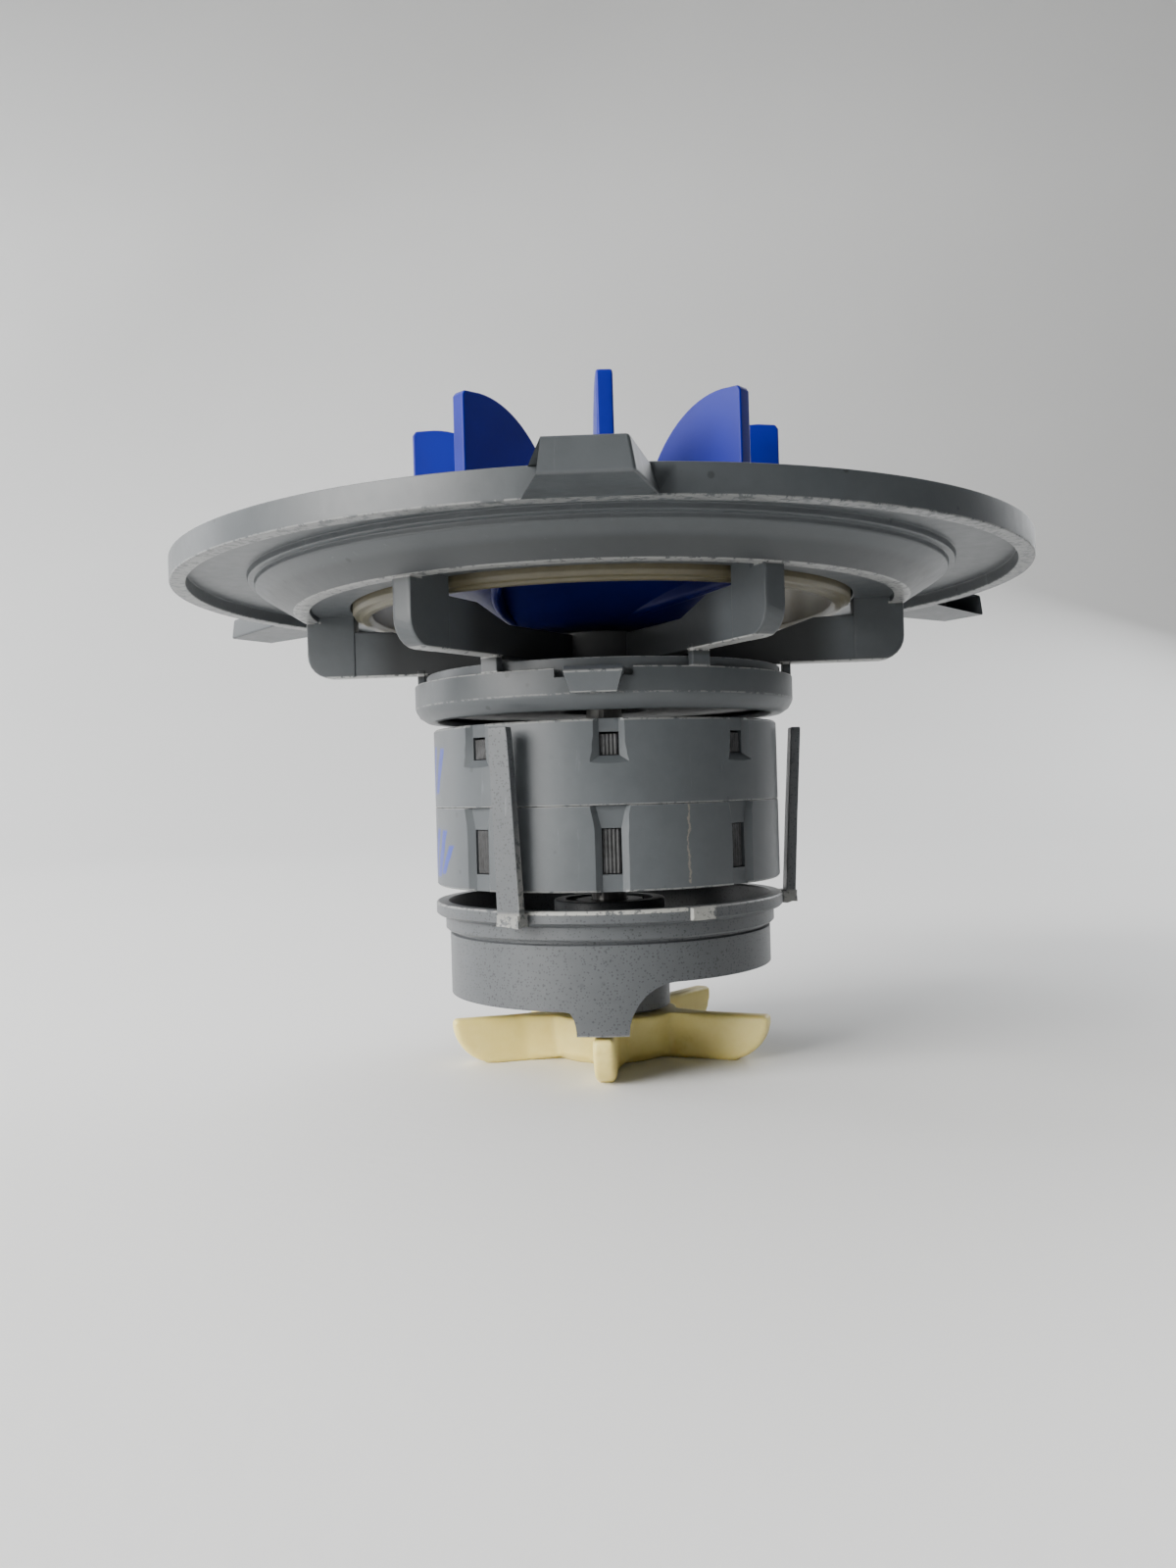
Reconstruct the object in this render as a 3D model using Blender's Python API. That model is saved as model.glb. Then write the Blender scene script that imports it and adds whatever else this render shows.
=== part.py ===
"""Wet-rotor pump cartridge for a dishwasher.

The wash impeller is on top, the magnet rotor in the middle and the drain impeller below.

Metres, +Z up along the shaft. The origin is on the axis, at the flat bottom of the drain impeller's hub.
Azimuth is measured from -Y (the front), positive towards +X.
"""
from math import cos, pi, radians, sin, sqrt, tau

import bmesh
import bpy
from mathutils import Matrix, Vector

MM = 0.001
GAP = 0.3 * MM                      # running and assembly clearance between two pieces

# --- radii, from the shaft outwards ---------------------------------------------------------
SHAFT_RADIUS = 3.0 * MM
BUSH_WALL = 2.4 * MM
GROMMET_WALL = 1.2 * MM
BOSS_WALL = 1.9 * MM
TUBE_WALL = 1.7 * MM
ROTOR_RADIUS = 29.0 * MM
SHELL_WALL = 2.2 * MM
MAGNET_THICKNESS = 4.6 * MM
CORE_WALL = 4.5 * MM
RING_OVERHANG = 2.9 * MM            # housing ring beyond the rotor
RING_WALL = 1.7 * MM
WASH_RADIUS = 31.2 * MM
THROAT_CLEARANCE = 7.3 * MM         # wash impeller to wear ring
WEAR_RING_WALL = 3.3 * MM
COLLAR_OFFSET = 9.3 * MM            # wear ring to the collar's outside
COLLAR_WALL = 2.5 * MM
FLANGE_RADIUS = 70.0 * MM
LIP_WALL = 2.5 * MM
LUG_REACH = 14.7 * MM
DRAIN_RADIUS = 27.4 * MM
DRAIN_HUB_RADIUS = 10.7 * MM
SKIRT_INSET = 1.9 * MM              # skirt inside the rotor's radius
SKIRT_WALL = 1.9 * MM

# --- heights, from the drain impeller upwards --------------------------------------------------
DRAIN_HEIGHT = 7.5 * MM
DRAIN_FLOOR = 1.8 * MM              # solid hub below the shaft's end
LEG_GAP = 0.5 * MM                  # drain blades to the skirt's leg
SKIRT_STEP = 3.7 * MM               # leg's end to the skirt's edge
ARCH_RISE = 4.0 * MM                # skirt's edge to the top of the outlet arch
SKIRT_BAND = 6.6 * MM               # arch to the groove
NECK_HEIGHT = 2.6 * MM
CAP_RIM_HEIGHT = 2.1 * MM
CAP_GAP = 2.7 * MM                  # cap rim to the rotor
ROTOR_HEIGHT = 25.8 * MM
RING_GAP = 1.3 * MM                 # rotor to the housing ring
RING_CHAMFER = 2.4 * MM
RING_BAND = 3.7 * MM
RIB_GAP = 2.4 * MM                  # ring to the ribs' lower edge
COLLAR_DROP = 9.6 * MM              # ribs' lower edge to the collar's edge
CONE_RISE = 3.6 * MM                # collar's edge to the flange lip's edge
LIP_HEIGHT = 4.0 * MM
LIP_DEPTH = 2.1 * MM                # recess under the flange, inside the lip
STEP_SHARE = 0.37                   # cone's outer edge, from the collar towards the lip
HUB_DROP = 1.1 * MM                 # wash impeller's disc below the flange's top
FIN_HEIGHT = 25.2 * MM

# --- repeated features -----------------------------------------------------------------------
RIB_COUNT = 6
RIB_THICKNESS = 3.35 * MM
RIB_AZIMUTH = 30.0
RIB_CORNER = 4.0 * MM
RIB_SINK = 0.8 * MM                 # how far a rib's top runs into the flange
LUG_COUNT = 3
LUG_AZIMUTH = 1.7
LUG_ROOT_WIDTH = 16.4 * MM
LUG_TIP_WIDTH = 10.4 * MM
LUG_THICKNESS = 4.0 * MM
LUG_FALL = 1.0 * MM                 # the tip below the flange's top
LUG_TOP_TAPER = 0.12                # how much narrower a lug is at its top
HOOK_COUNT = 3
HOOK_TOP_WIDTH = 8.7 * MM
HOOK_FOOT_WIDTH = 6.8 * MM
HOOK_HEIGHT = 3.9 * MM
HOOK_REACH = 1.6 * MM
NOTCH_WIDTH = 11.6 * MM
NOTCH_DEPTH = 1.4 * MM
POLE_COUNT = 8                      # magnets, and windows in each row of the rotor's shell
WINDOW_AZIMUTH = 3.7
MAGNET_INSET = 2.2 * MM             # magnets inside the rotor's two ends
MAGNET_SLIT = 0.6 * MM              # gap between neighbouring magnets
END_PLATE_INSET = 0.4 * MM
THRUST_WASHER = 0.9 * MM
WINDOW_WIDTH = 2.95 * MM
UPPER_WINDOW_HEIGHT = 3.5 * MM
UPPER_WINDOW_MARGIN = 2.0 * MM      # rotor's top to the upper windows
LOWER_WINDOW_FOOT = 2.6 * MM        # rotor's bottom to the lower windows
LOWER_WINDOW_HEAD = 3.4 * MM        # lower windows to the seam
RECESS_FLARE = 1.3 * MM             # recess beyond the window
RECESS_WIDTH = 5.2 * MM
RECESS_DEPTH = 0.8 * MM
FIN_COUNT = 8
FIN_AZIMUTH = 5.1
FIN_THICKNESS = 2.5 * MM
FIN_START = 6.7 * MM                # fin's inner end beyond the shaft
FIN_CORNER = 3.55 * MM              # fin's highest point to the rim
SWIRL_COUNT = 4
SWIRL_THICKNESS = 2.6 * MM
SWIRL_TURN = 55.0                   # degrees that an inducer vane turns back on its way out
BLADE_COUNT = 5
BLADE_AZIMUTH = -0.8
BLADE_THICKNESS = 3.3 * MM
BLADE_ROUND = 7.0 * MM
ARM_COUNT = 3
ARM_AZIMUTH = -26.0
ARM_FOOT_WIDTH = 3.7 * MM
ARM_TIP_WIDTH = 3.2 * MM
ARM_THICKNESS = 1.6 * MM
ARM_LEAN = 1.6 * MM                 # tip further out than the foot
ARM_SLANT = 0.6 * MM                # tip to the side of the foot
ARM_CLEARANCE = 1.1 * MM
STUB_AZIMUTH = 30.5
STUB_WIDTH = 3.9 * MM
LEG_START, LEG_END = -9.1, 7.7      # azimuths of the skirt's leg
ARCH_END = 122.0                    # azimuth where the outlet arch stops

FLANGE_SIDES = 72
BODY_SIDES = 48
BOSS_SIDES = 24

# --- levels and radii that follow --------------------------------------------------------------
BUSH_BORE = SHAFT_RADIUS + GAP
BUSH_RADIUS = BUSH_BORE + BUSH_WALL
GROMMET_BORE = BUSH_RADIUS + GAP
GROMMET_RADIUS = GROMMET_BORE + GROMMET_WALL
BOSS_BORE = GROMMET_RADIUS + GAP
BOSS_RADIUS = BOSS_BORE + BOSS_WALL
TUBE_BORE = BOSS_RADIUS + GAP
TUBE_RADIUS = TUBE_BORE + TUBE_WALL

LEG_Z = DRAIN_HEIGHT + LEG_GAP
SKIRT_Z = LEG_Z + SKIRT_STEP
ARCH_Z = SKIRT_Z + ARCH_RISE
GROOVE_Z = ARCH_Z + SKIRT_BAND
CAP_RIM_Z = GROOVE_Z + NECK_HEIGHT
CAP_TOP_Z = CAP_RIM_Z + CAP_RIM_HEIGHT
ROTOR_Z = CAP_TOP_Z + CAP_GAP
SEAM_Z = ROTOR_Z + ROTOR_HEIGHT * 0.5
ROTOR_TOP_Z = ROTOR_Z + ROTOR_HEIGHT
RING_Z = ROTOR_TOP_Z + RING_GAP
RING_TOP_Z = RING_Z + RING_CHAMFER + RING_BAND
RIB_Z = RING_TOP_Z + RIB_GAP
COLLAR_Z = RIB_Z + COLLAR_DROP
LIP_Z = COLLAR_Z + CONE_RISE
FLANGE_Z = LIP_Z + LIP_HEIGHT
HUB_Z = FLANGE_Z - HUB_DROP
FIN_TOP_Z = HUB_Z + FIN_HEIGHT
WEAR_RING_Z = COLLAR_Z - 1.0 * MM
RIB_INNER_Z = WEAR_RING_Z - 0.8 * MM
BOWL_Z = RIB_Z + 6.0 * MM
CROWN_Z = BOWL_Z - 0.6 * MM         # top of the housing's central tube
PLATE_THICKNESS = LIP_HEIGHT - LIP_DEPTH

RING_RADIUS = ROTOR_RADIUS + RING_OVERHANG
RING_BORE = RING_RADIUS - RING_WALL
WEAR_RING_BORE = WASH_RADIUS + THROAT_CLEARANCE
WEAR_RING_RADIUS = WEAR_RING_BORE + WEAR_RING_WALL
COLLAR_RADIUS = WEAR_RING_RADIUS + COLLAR_OFFSET
STEP_RADIUS = COLLAR_RADIUS + (FLANGE_RADIUS - LIP_WALL - COLLAR_RADIUS) * STEP_SHARE
SKIRT_RADIUS = ROTOR_RADIUS - SKIRT_INSET
CAP_RIM_RADIUS = ROTOR_RADIUS + GAP
LEDGE_Z = COLLAR_Z + 0.9 * MM       # underside of the seat that holds the wear ring
LEDGE_TOP_Z = LEDGE_Z + 2.0 * MM


def material(name, colour, roughness, metallic=0.0):
    finish = bpy.data.materials.new(name)
    finish.use_nodes = True
    shader = finish.node_tree.nodes["Principled BSDF"]
    shader.inputs["Base Color"].default_value = (*colour, 1.0)
    shader.inputs["Roughness"].default_value = roughness
    shader.inputs["Metallic"].default_value = metallic
    return finish


def add_object(name, bm, finish=None, parent=None):
    """Turns a bmesh into an object, with its faces pointing out and its round faces smooth."""
    bmesh.ops.remove_doubles(bm, verts=bm.verts, dist=0.001 * MM)
    bmesh.ops.recalc_face_normals(bm, faces=bm.faces)
    mesh = bpy.data.meshes.new(name)
    bm.to_mesh(mesh)
    bm.free()
    obj = bpy.data.objects.new(name, mesh)
    bpy.context.scene.collection.objects.link(obj)
    mesh.shade_smooth()
    mesh.set_sharp_from_angle(angle=radians(32))
    if finish:
        mesh.materials.append(finish)
    if parent:
        obj.parent = parent
    return obj


def combine(target, helper, operation):
    """Adds or cuts a helper with a Boolean, and hides the helper."""
    helper.hide_render = True
    helper.display_type = "WIRE"
    modifier = target.modifiers.new(helper.name, "BOOLEAN")
    modifier.operation = operation
    modifier.solver = "EXACT"
    modifier.object = helper


def azimuth_matrix(degrees):
    """Turns something modelled along -Y to the given azimuth."""
    return Matrix.Rotation(radians(degrees), 4, "Z")


def turn(bm, profile, sides):
    """Spins (radius, height) points round the axis. A profile off the axis is closed on itself."""
    verts = [bm.verts.new((0.0, -r, z)) for r, z in profile]
    edges = [bm.edges.new(pair) for pair in zip(verts, verts[1:])]
    if profile[0][0] > 0.0 or profile[-1][0] > 0.0:
        edges.append(bm.edges.new((verts[-1], verts[0])))
    bmesh.ops.spin(bm, geom=verts + edges, cent=(0, 0, 0), axis=(0, 0, 1), dvec=(0, 0, 0), angle=tau,
                   steps=sides, use_merge=True)


def turned(name, profile, sides, finish=None, parent=None):
    bm = bmesh.new()
    turn(bm, profile, sides)
    return add_object(name, bm, finish, parent)


def sleeve(name, bore, radius, low, high, sides, finish, parent, chamfer=0.0):
    """A plain tube, with its two outer edges chamfered."""
    profile = [(bore, low), (radius - chamfer, low)]
    if chamfer:
        profile += [(radius, low + chamfer), (radius, high - chamfer)]
    profile += [(radius - chamfer, high), (bore, high)]
    if not chamfer:
        profile = [(bore, low), (radius, low), (radius, high), (bore, high)]
    return turned(name, profile, sides, finish, parent)


def add_prism(bm, lower, upper, matrix=Matrix()):
    """A solid between two outlines that have the same number of points."""
    ends = [[bm.verts.new(matrix @ Vector(point)) for point in outline] for outline in (lower, upper)]
    bm.faces.new(ends[0])
    bm.faces.new(list(reversed(ends[1])))
    count = len(lower)
    for i in range(count):
        j = (i + 1) % count
        bm.faces.new((ends[0][j], ends[0][i], ends[1][i], ends[1][j]))


def add_radial_plate(bm, outline, thickness, degrees):
    """A flat plate in a plane through the axis. Its outline is given as (radius, height) points."""
    half = thickness * 0.5
    sides = [[(x, -r, z) for r, z in outline] for x in (-half, half)]
    add_prism(bm, sides[0], sides[1], azimuth_matrix(degrees))


def add_block(bm, near, far, low, high, width, degrees, top_width=None):
    """A block between two radii and two heights, its width tapering to top_width."""
    half = width * 0.5
    top = half if top_width is None else top_width * 0.5
    lower = [(-half, -near, low), (half, -near, low), (half, -far, low), (-half, -far, low)]
    upper = [(-top, -near, high), (top, -near, high), (top, -far, high), (-top, -far, high)]
    add_prism(bm, lower, upper, azimuth_matrix(degrees))


def corner(centre, radius, start, end, steps=4):
    """Points of a round corner in a (radius, height) outline, between two angles in degrees."""
    angles = [radians(start + (end - start) * i / steps) for i in range(steps + 1)]
    return [(centre[0] + radius * cos(a), centre[1] + radius * sin(a)) for a in angles]


def evenly(count, first):
    return [first + 360.0 * i / count for i in range(count)]


# --- pump housing: flange, cage ribs and ring ---------------------------------------------------

def flange_profile():
    """From the lip's outer foot, up over the flange, down the throat and back along the underside."""
    seat = WEAR_RING_RADIUS + GAP
    top_break = STEP_RADIUS + 1.3 * MM
    groove = STEP_RADIUS + 1.1 * MM
    ceiling = FLANGE_Z - PLATE_THICKNESS
    return [
        (FLANGE_RADIUS, LIP_Z), (FLANGE_RADIUS, FLANGE_Z - 0.4 * MM), (FLANGE_RADIUS - 0.4 * MM, FLANGE_Z),
        (top_break, FLANGE_Z), (COLLAR_RADIUS - 0.6 * MM, LEDGE_TOP_Z), (seat, LEDGE_TOP_Z), (seat, LEDGE_Z),
        (COLLAR_RADIUS - COLLAR_WALL, LEDGE_Z), (COLLAR_RADIUS - COLLAR_WALL, COLLAR_Z),
        (COLLAR_RADIUS, COLLAR_Z),
        (STEP_RADIUS, LIP_Z + 0.2 * MM), (STEP_RADIUS, LIP_Z + 1.1 * MM), (groove, LIP_Z + 1.1 * MM),
        (groove, ceiling), (FLANGE_RADIUS - LIP_WALL, ceiling), (FLANGE_RADIUS - LIP_WALL, LIP_Z),
    ]


def ring_profile():
    foot = RING_RADIUS - 2.0 * MM
    return [
        (foot, RING_Z), (RING_RADIUS, RING_Z + RING_CHAMFER), (RING_RADIUS, RING_TOP_Z),
        (RING_BORE, RING_TOP_Z), (RING_BORE, RING_Z + 1.6 * MM), (foot - RING_WALL, RING_Z + 1.0 * MM),
        (foot - RING_WALL, RING_Z),
    ]


def rib_outline():
    """A cage rib: full height outside the wear ring, and low inside it, down to the central tube."""
    edge = COLLAR_RADIUS - 0.3 * MM
    shoulder = WEAR_RING_RADIUS + GAP + 0.3 * MM
    root = TUBE_RADIUS - 0.8 * MM
    brow = WEAR_RING_BORE - 2.7 * MM
    knee = WASH_RADIUS - 3.0 * MM
    low_top = CROWN_Z - 0.4 * MM
    outline = [(shoulder, LEDGE_Z + RIB_SINK), (shoulder, RIB_INNER_Z), (brow, RIB_INNER_Z - 0.2 * MM)]
    outline += [(knee, low_top), (root, low_top), (root, RIB_Z)]
    outline += corner((edge - RIB_CORNER, RIB_Z + RIB_CORNER), RIB_CORNER, -90, 0)
    outline += [(edge, LEDGE_Z + RIB_SINK)]
    return outline


def build_housing(root, grey):
    housing = turned("pump_housing", flange_profile(), FLANGE_SIDES, grey, root)

    ribs = bmesh.new()
    for degrees in evenly(RIB_COUNT, RIB_AZIMUTH):
        add_radial_plate(ribs, rib_outline(), RIB_THICKNESS, degrees)
    combine(housing, add_object("rib_shapes", ribs), "UNION")

    ring = bmesh.new()
    turn(ring, ring_profile(), BODY_SIDES)
    tube_low = RIB_Z - 0.5 * MM
    tube = [(TUBE_BORE, tube_low), (TUBE_RADIUS, tube_low), (TUBE_RADIUS, CROWN_Z), (TUBE_BORE, CROWN_Z)]
    turn(ring, tube, BOSS_SIDES)
    combine(housing, add_object("ring_shape", ring), "UNION")

    legs = bmesh.new()
    inside = RING_BORE + 0.1 * MM
    outside = RING_RADIUS - 0.1 * MM
    low = RING_TOP_Z - 1.0 * MM
    high = RIB_Z + 1.0 * MM
    for degrees in evenly(RIB_COUNT, RIB_AZIMUTH):
        add_block(legs, inside, outside, low, high, RIB_THICKNESS - 0.1 * MM, degrees)
    combine(housing, add_object("leg_shapes", legs), "UNION")

    lugs = bmesh.new()
    for degrees in evenly(LUG_COUNT, LUG_AZIMUTH):
        add_lug(lugs, degrees)
    combine(housing, add_object("lug_shapes", lugs), "UNION")

    notches = bmesh.new()
    inside = RING_BORE - 2.0 * MM
    outside = RING_RADIUS + 2.0 * MM
    low = RING_TOP_Z - NOTCH_DEPTH
    high = RING_TOP_Z + 1.0 * MM
    for degrees in evenly(HOOK_COUNT, 0.0):
        add_block(notches, inside, outside, low, high, NOTCH_WIDTH, degrees)
    combine(housing, add_object("notch_cutters", notches), "DIFFERENCE")


def add_lug(bm, degrees):
    """A bayonet lug: a tab that narrows and falls slightly from the flange's rim."""
    root = FLANGE_RADIUS - LIP_WALL * 0.6
    tip = FLANGE_RADIUS + LUG_REACH
    outlines = []
    for drop in (LUG_THICKNESS, 0.0):
        taper = 1.0 - LUG_TOP_TAPER * (1.0 - drop / LUG_THICKNESS)
        half_root = LUG_ROOT_WIDTH * 0.5 * taper
        half_tip = LUG_TIP_WIDTH * 0.5 * taper
        root_z = FLANGE_Z - 0.05 * MM - drop * 0.97
        tip_z = FLANGE_Z - LUG_FALL - drop
        outlines.append([(-half_root, -root, root_z), (half_root, -root, root_z),
                         (half_tip, -tip, tip_z), (-half_tip, -tip, tip_z)])
    add_prism(bm, outlines[0], outlines[1], azimuth_matrix(degrees))


def build_wear_ring(root, cream):
    """The ring hangs in the throat and rests on the housing's ledge by its flange. A collar rises above it."""
    lip = WEAR_RING_RADIUS - 1.2 * MM
    top = LEDGE_TOP_Z + GAP + 1.4 * MM
    rise = FLANGE_Z - 0.3 * MM
    profile = [
        (WEAR_RING_BORE, WEAR_RING_Z + 0.7 * MM), (WEAR_RING_BORE + 1.0 * MM, WEAR_RING_Z),
        (lip, WEAR_RING_Z), (WEAR_RING_RADIUS, WEAR_RING_Z + 1.0 * MM),
        (WEAR_RING_RADIUS, LEDGE_TOP_Z + GAP), (WEAR_RING_RADIUS + 3.0 * MM, LEDGE_TOP_Z + GAP),
        (WEAR_RING_RADIUS + 3.0 * MM, top), (WEAR_RING_BORE + 2.2 * MM, top),
        (WEAR_RING_BORE + 2.2 * MM, rise), (WEAR_RING_BORE + 0.6 * MM, rise),
        (WEAR_RING_BORE, rise - 0.6 * MM),
    ]
    turned("wear_ring", profile, FLANGE_SIDES, cream, root)


def build_bearing_carrier(root, grey):
    """A dish that closes the ring from below, with the bearing boss in its middle and three hooks."""
    rim = RING_BORE - GAP
    inner = rim - 1.5 * MM
    web_z = RING_Z + 3.0 * MM
    top = RING_TOP_Z + 1.6 * MM
    foot = RING_RADIUS - 2.0 * MM - RING_WALL - GAP
    profile = [
        (BOSS_BORE, web_z - 1.6 * MM), (foot, web_z - 1.6 * MM), (rim, web_z - 0.9 * MM), (rim, top),
        (inner, top), (inner, web_z + 2.0 * MM), (BOSS_RADIUS, web_z + 2.0 * MM),
        (BOSS_RADIUS, CROWN_Z), (BOSS_BORE, CROWN_Z),
    ]
    carrier = turned("bearing_carrier", profile, BODY_SIDES, grey, root)
    hooks = bmesh.new()
    for degrees in evenly(HOOK_COUNT, 0.0):
        add_hook(hooks, degrees)
    combine(carrier, add_object("hook_shapes", hooks), "UNION")


def add_hook(bm, degrees):
    """A tongue over the ring's notch, with a wedge that hangs down outside the ring."""
    face = RING_RADIUS + GAP
    tip = face + HOOK_REACH
    low = RING_TOP_Z - NOTCH_DEPTH + GAP
    high = RING_TOP_Z + 0.1 * MM
    foot = high - HOOK_HEIGHT
    half, foot_half = HOOK_TOP_WIDTH * 0.5, HOOK_FOOT_WIDTH * 0.5
    side = [(RING_BORE - 1.2 * MM, high), (RING_BORE - 1.2 * MM, low), (face, low), (face, foot)]
    side += [(tip - 0.9 * MM, foot), (tip, high - 1.0 * MM), (face, high)]
    widths = [half, half, half, foot_half, foot_half, half, half]
    left = [(-w, -r, z) for w, (r, z) in zip(widths, side)]
    right = [(w, -r, z) for w, (r, z) in zip(widths, side)]
    add_prism(bm, left, right, azimuth_matrix(degrees))


# --- rotor: shaft, magnets, shell and the two impellers ------------------------------------------

def build_rotor_core(spindle, steel, black, magnet_grey):
    shaft_top = HUB_Z + 12.0 * MM
    shaft_low = DRAIN_FLOOR + GAP
    chamfer = 0.5 * MM
    profile = [
        (0.0, shaft_low), (SHAFT_RADIUS - chamfer, shaft_low), (SHAFT_RADIUS, shaft_low + chamfer),
        (SHAFT_RADIUS, shaft_top - chamfer), (SHAFT_RADIUS - chamfer, shaft_top), (0.0, shaft_top),
    ]
    turned("shaft", profile, BOSS_SIDES, steel, spindle)

    magnet_radius = ROTOR_RADIUS - SHELL_WALL - GAP
    magnet_bore = magnet_radius - MAGNET_THICKNESS
    core_radius = magnet_bore - GAP
    low = ROTOR_Z + MAGNET_INSET
    high = ROTOR_TOP_Z - MAGNET_INSET
    sleeve("back_iron", core_radius - CORE_WALL, core_radius, low, high, BODY_SIDES, steel, spindle)
    sleeve("rotor_hub", BUSH_BORE, core_radius - CORE_WALL - GAP, low, high, BODY_SIDES, black, spindle)

    slit = degrees_of(MAGNET_SLIT, magnet_radius)
    span = 360.0 / POLE_COUNT - slit
    for index, degrees in enumerate(evenly(POLE_COUNT, WINDOW_AZIMUTH), start=1):
        bm = bmesh.new()
        steps = 6
        angles = [degrees - span * 0.5 + span * i / steps for i in range(steps + 1)]
        outline = [polar(magnet_radius, a) for a in angles]
        outline += [polar(magnet_bore, a) for a in reversed(angles)]
        add_prism(bm, [(x, y, low) for x, y in outline], [(x, y, high) for x, y in outline])
        add_object(f"magnet_{index}", bm, magnet_grey, spindle)

    for name, bottom, top in (("rotor_end_plate_lower", ROTOR_Z + END_PLATE_INSET, low - GAP),
                              ("rotor_end_plate_upper", high + GAP, ROTOR_TOP_Z - END_PLATE_INSET)):
        sleeve(name, BUSH_BORE, magnet_bore - GAP, bottom, top, BODY_SIDES, black, spindle)


def degrees_of(length, radius):
    return length / radius * 180.0 / pi


def polar(radius, degrees):
    return radius * sin(radians(degrees)), -radius * cos(radians(degrees))


def build_rotor_shells(spindle, grey):
    """Two moulded cups meet at the seam. Each has a row of windows that show the magnets."""
    wall = ROTOR_RADIUS - SHELL_WALL
    lip_bore = wall - MAGNET_THICKNESS
    cap = 1.6 * MM
    for name, seam, end in (("rotor_shell_lower", SEAM_Z - 0.15 * MM, ROTOR_Z),
                            ("rotor_shell_upper", SEAM_Z + 0.15 * MM, ROTOR_TOP_Z)):
        inward = cap if end < seam else -cap
        edge = 0.3 * MM if end < seam else -0.3 * MM
        profile = [
            (wall, seam), (ROTOR_RADIUS, seam), (ROTOR_RADIUS, end + edge), (ROTOR_RADIUS - 0.3 * MM, end),
            (lip_bore, end), (lip_bore, end + inward), (wall, end + inward),
        ]
        shell = turned(name, profile, BODY_SIDES, grey, spindle)
        combine(shell, window_cutters(name, end < seam), "DIFFERENCE")


def window_cutters(name, lower_row):
    """Shallow recesses with a flared top, and the windows through them."""
    bm = bmesh.new()
    if lower_row:
        window_low, window_high = ROTOR_Z + LOWER_WINDOW_FOOT, SEAM_Z - LOWER_WINDOW_HEAD
        recess_low, recess_high = ROTOR_Z - 1.0 * MM, window_high + RECESS_FLARE
        low_width, high_width = RECESS_WIDTH - 0.9 * MM, RECESS_WIDTH + 0.8 * MM
    else:
        window_high = ROTOR_TOP_Z - UPPER_WINDOW_MARGIN
        window_low = window_high - UPPER_WINDOW_HEIGHT
        recess_low, recess_high = window_low - RECESS_FLARE, ROTOR_TOP_Z + 1.0 * MM
        low_width, high_width = RECESS_WIDTH + 0.8 * MM, RECESS_WIDTH - 0.6 * MM
    far = ROTOR_RADIUS + 2.0 * MM
    for degrees in evenly(POLE_COUNT, WINDOW_AZIMUTH):
        near = ROTOR_RADIUS - RECESS_DEPTH
        add_block(bm, near, far, recess_low, recess_high, low_width, degrees, high_width)
    recess = add_object(f"{name}_recess_cutters", bm)
    bm = bmesh.new()
    for degrees in evenly(POLE_COUNT, WINDOW_AZIMUTH):
        near = ROTOR_RADIUS - SHELL_WALL - 0.8 * MM
        add_block(bm, near, far, window_low, window_high, WINDOW_WIDTH, degrees)
    combine(recess, add_object(f"{name}_window_cutters", bm), "UNION")
    return recess


def fin_outline():
    """A wash fin: its top edge is a quarter of an ellipse that rises outwards."""
    reach = WASH_RADIUS - FIN_CORNER
    start = SHAFT_RADIUS + FIN_START
    steps = 10
    points = []
    for i in range(steps + 1):
        t = pi * 0.5 * i / steps
        points.append((reach - (reach - start) * cos(t), HUB_Z + FIN_HEIGHT * sin(t)))
    fall = FIN_HEIGHT * (1.0 - sqrt(1.0 - (FIN_CORNER / (reach - start)) ** 2))
    points.append((WASH_RADIUS, FIN_TOP_Z - fall))
    points += [(WASH_RADIUS, HUB_Z - 0.5 * MM), (start, HUB_Z - 0.5 * MM)]
    return points


def bowl_profile():
    """The wash impeller's hub: a flat disc on top, a bowl below, and a bore for the shaft."""
    edge = HUB_Z - 1.6 * MM
    rise = edge - BOWL_Z
    flare = WASH_RADIUS - 13.0 * MM
    bowl = [(BUSH_BORE, BOWL_Z), (13.0 * MM, BOWL_Z)]
    for along, up in ((0.16, 0.2), (0.28, 0.36), (0.45, 0.6), (0.64, 0.78), (0.84, 0.92)):
        bowl.append((13.0 * MM + flare * along, BOWL_Z + rise * up))
    boss = SHAFT_RADIUS + 4.0 * MM
    return bowl + [(WASH_RADIUS, edge), (WASH_RADIUS, HUB_Z), (boss, HUB_Z), (boss, HUB_Z + 5.0 * MM),
                   (BUSH_BORE, HUB_Z + 5.0 * MM)]


def add_swirl(bm, degrees):
    """A curved inducer vane under the bowl, from the hub out to the disc's edge."""
    steps = 6
    inner, outer = 9.0 * MM, WASH_RADIUS - 3.5 * MM
    stations = [i / steps for i in range(steps + 1)]
    lower, upper = [], []
    for side, order in ((-1, stations), (1, stations[::-1])):
        for along in order:
            radius = inner + (outer - inner) * along
            half = degrees_of(SWIRL_THICKNESS * 0.5, radius) * side
            x, y = polar(radius, SWIRL_TURN * along + half)
            foot = BOWL_Z + 0.35 * MM + (HUB_Z - BOWL_Z) * 0.62 * along ** 2
            lower.append((x, y, foot))
            upper.append((x, y, foot + 3.0 * MM))
    add_prism(bm, lower, upper, azimuth_matrix(degrees))


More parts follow.
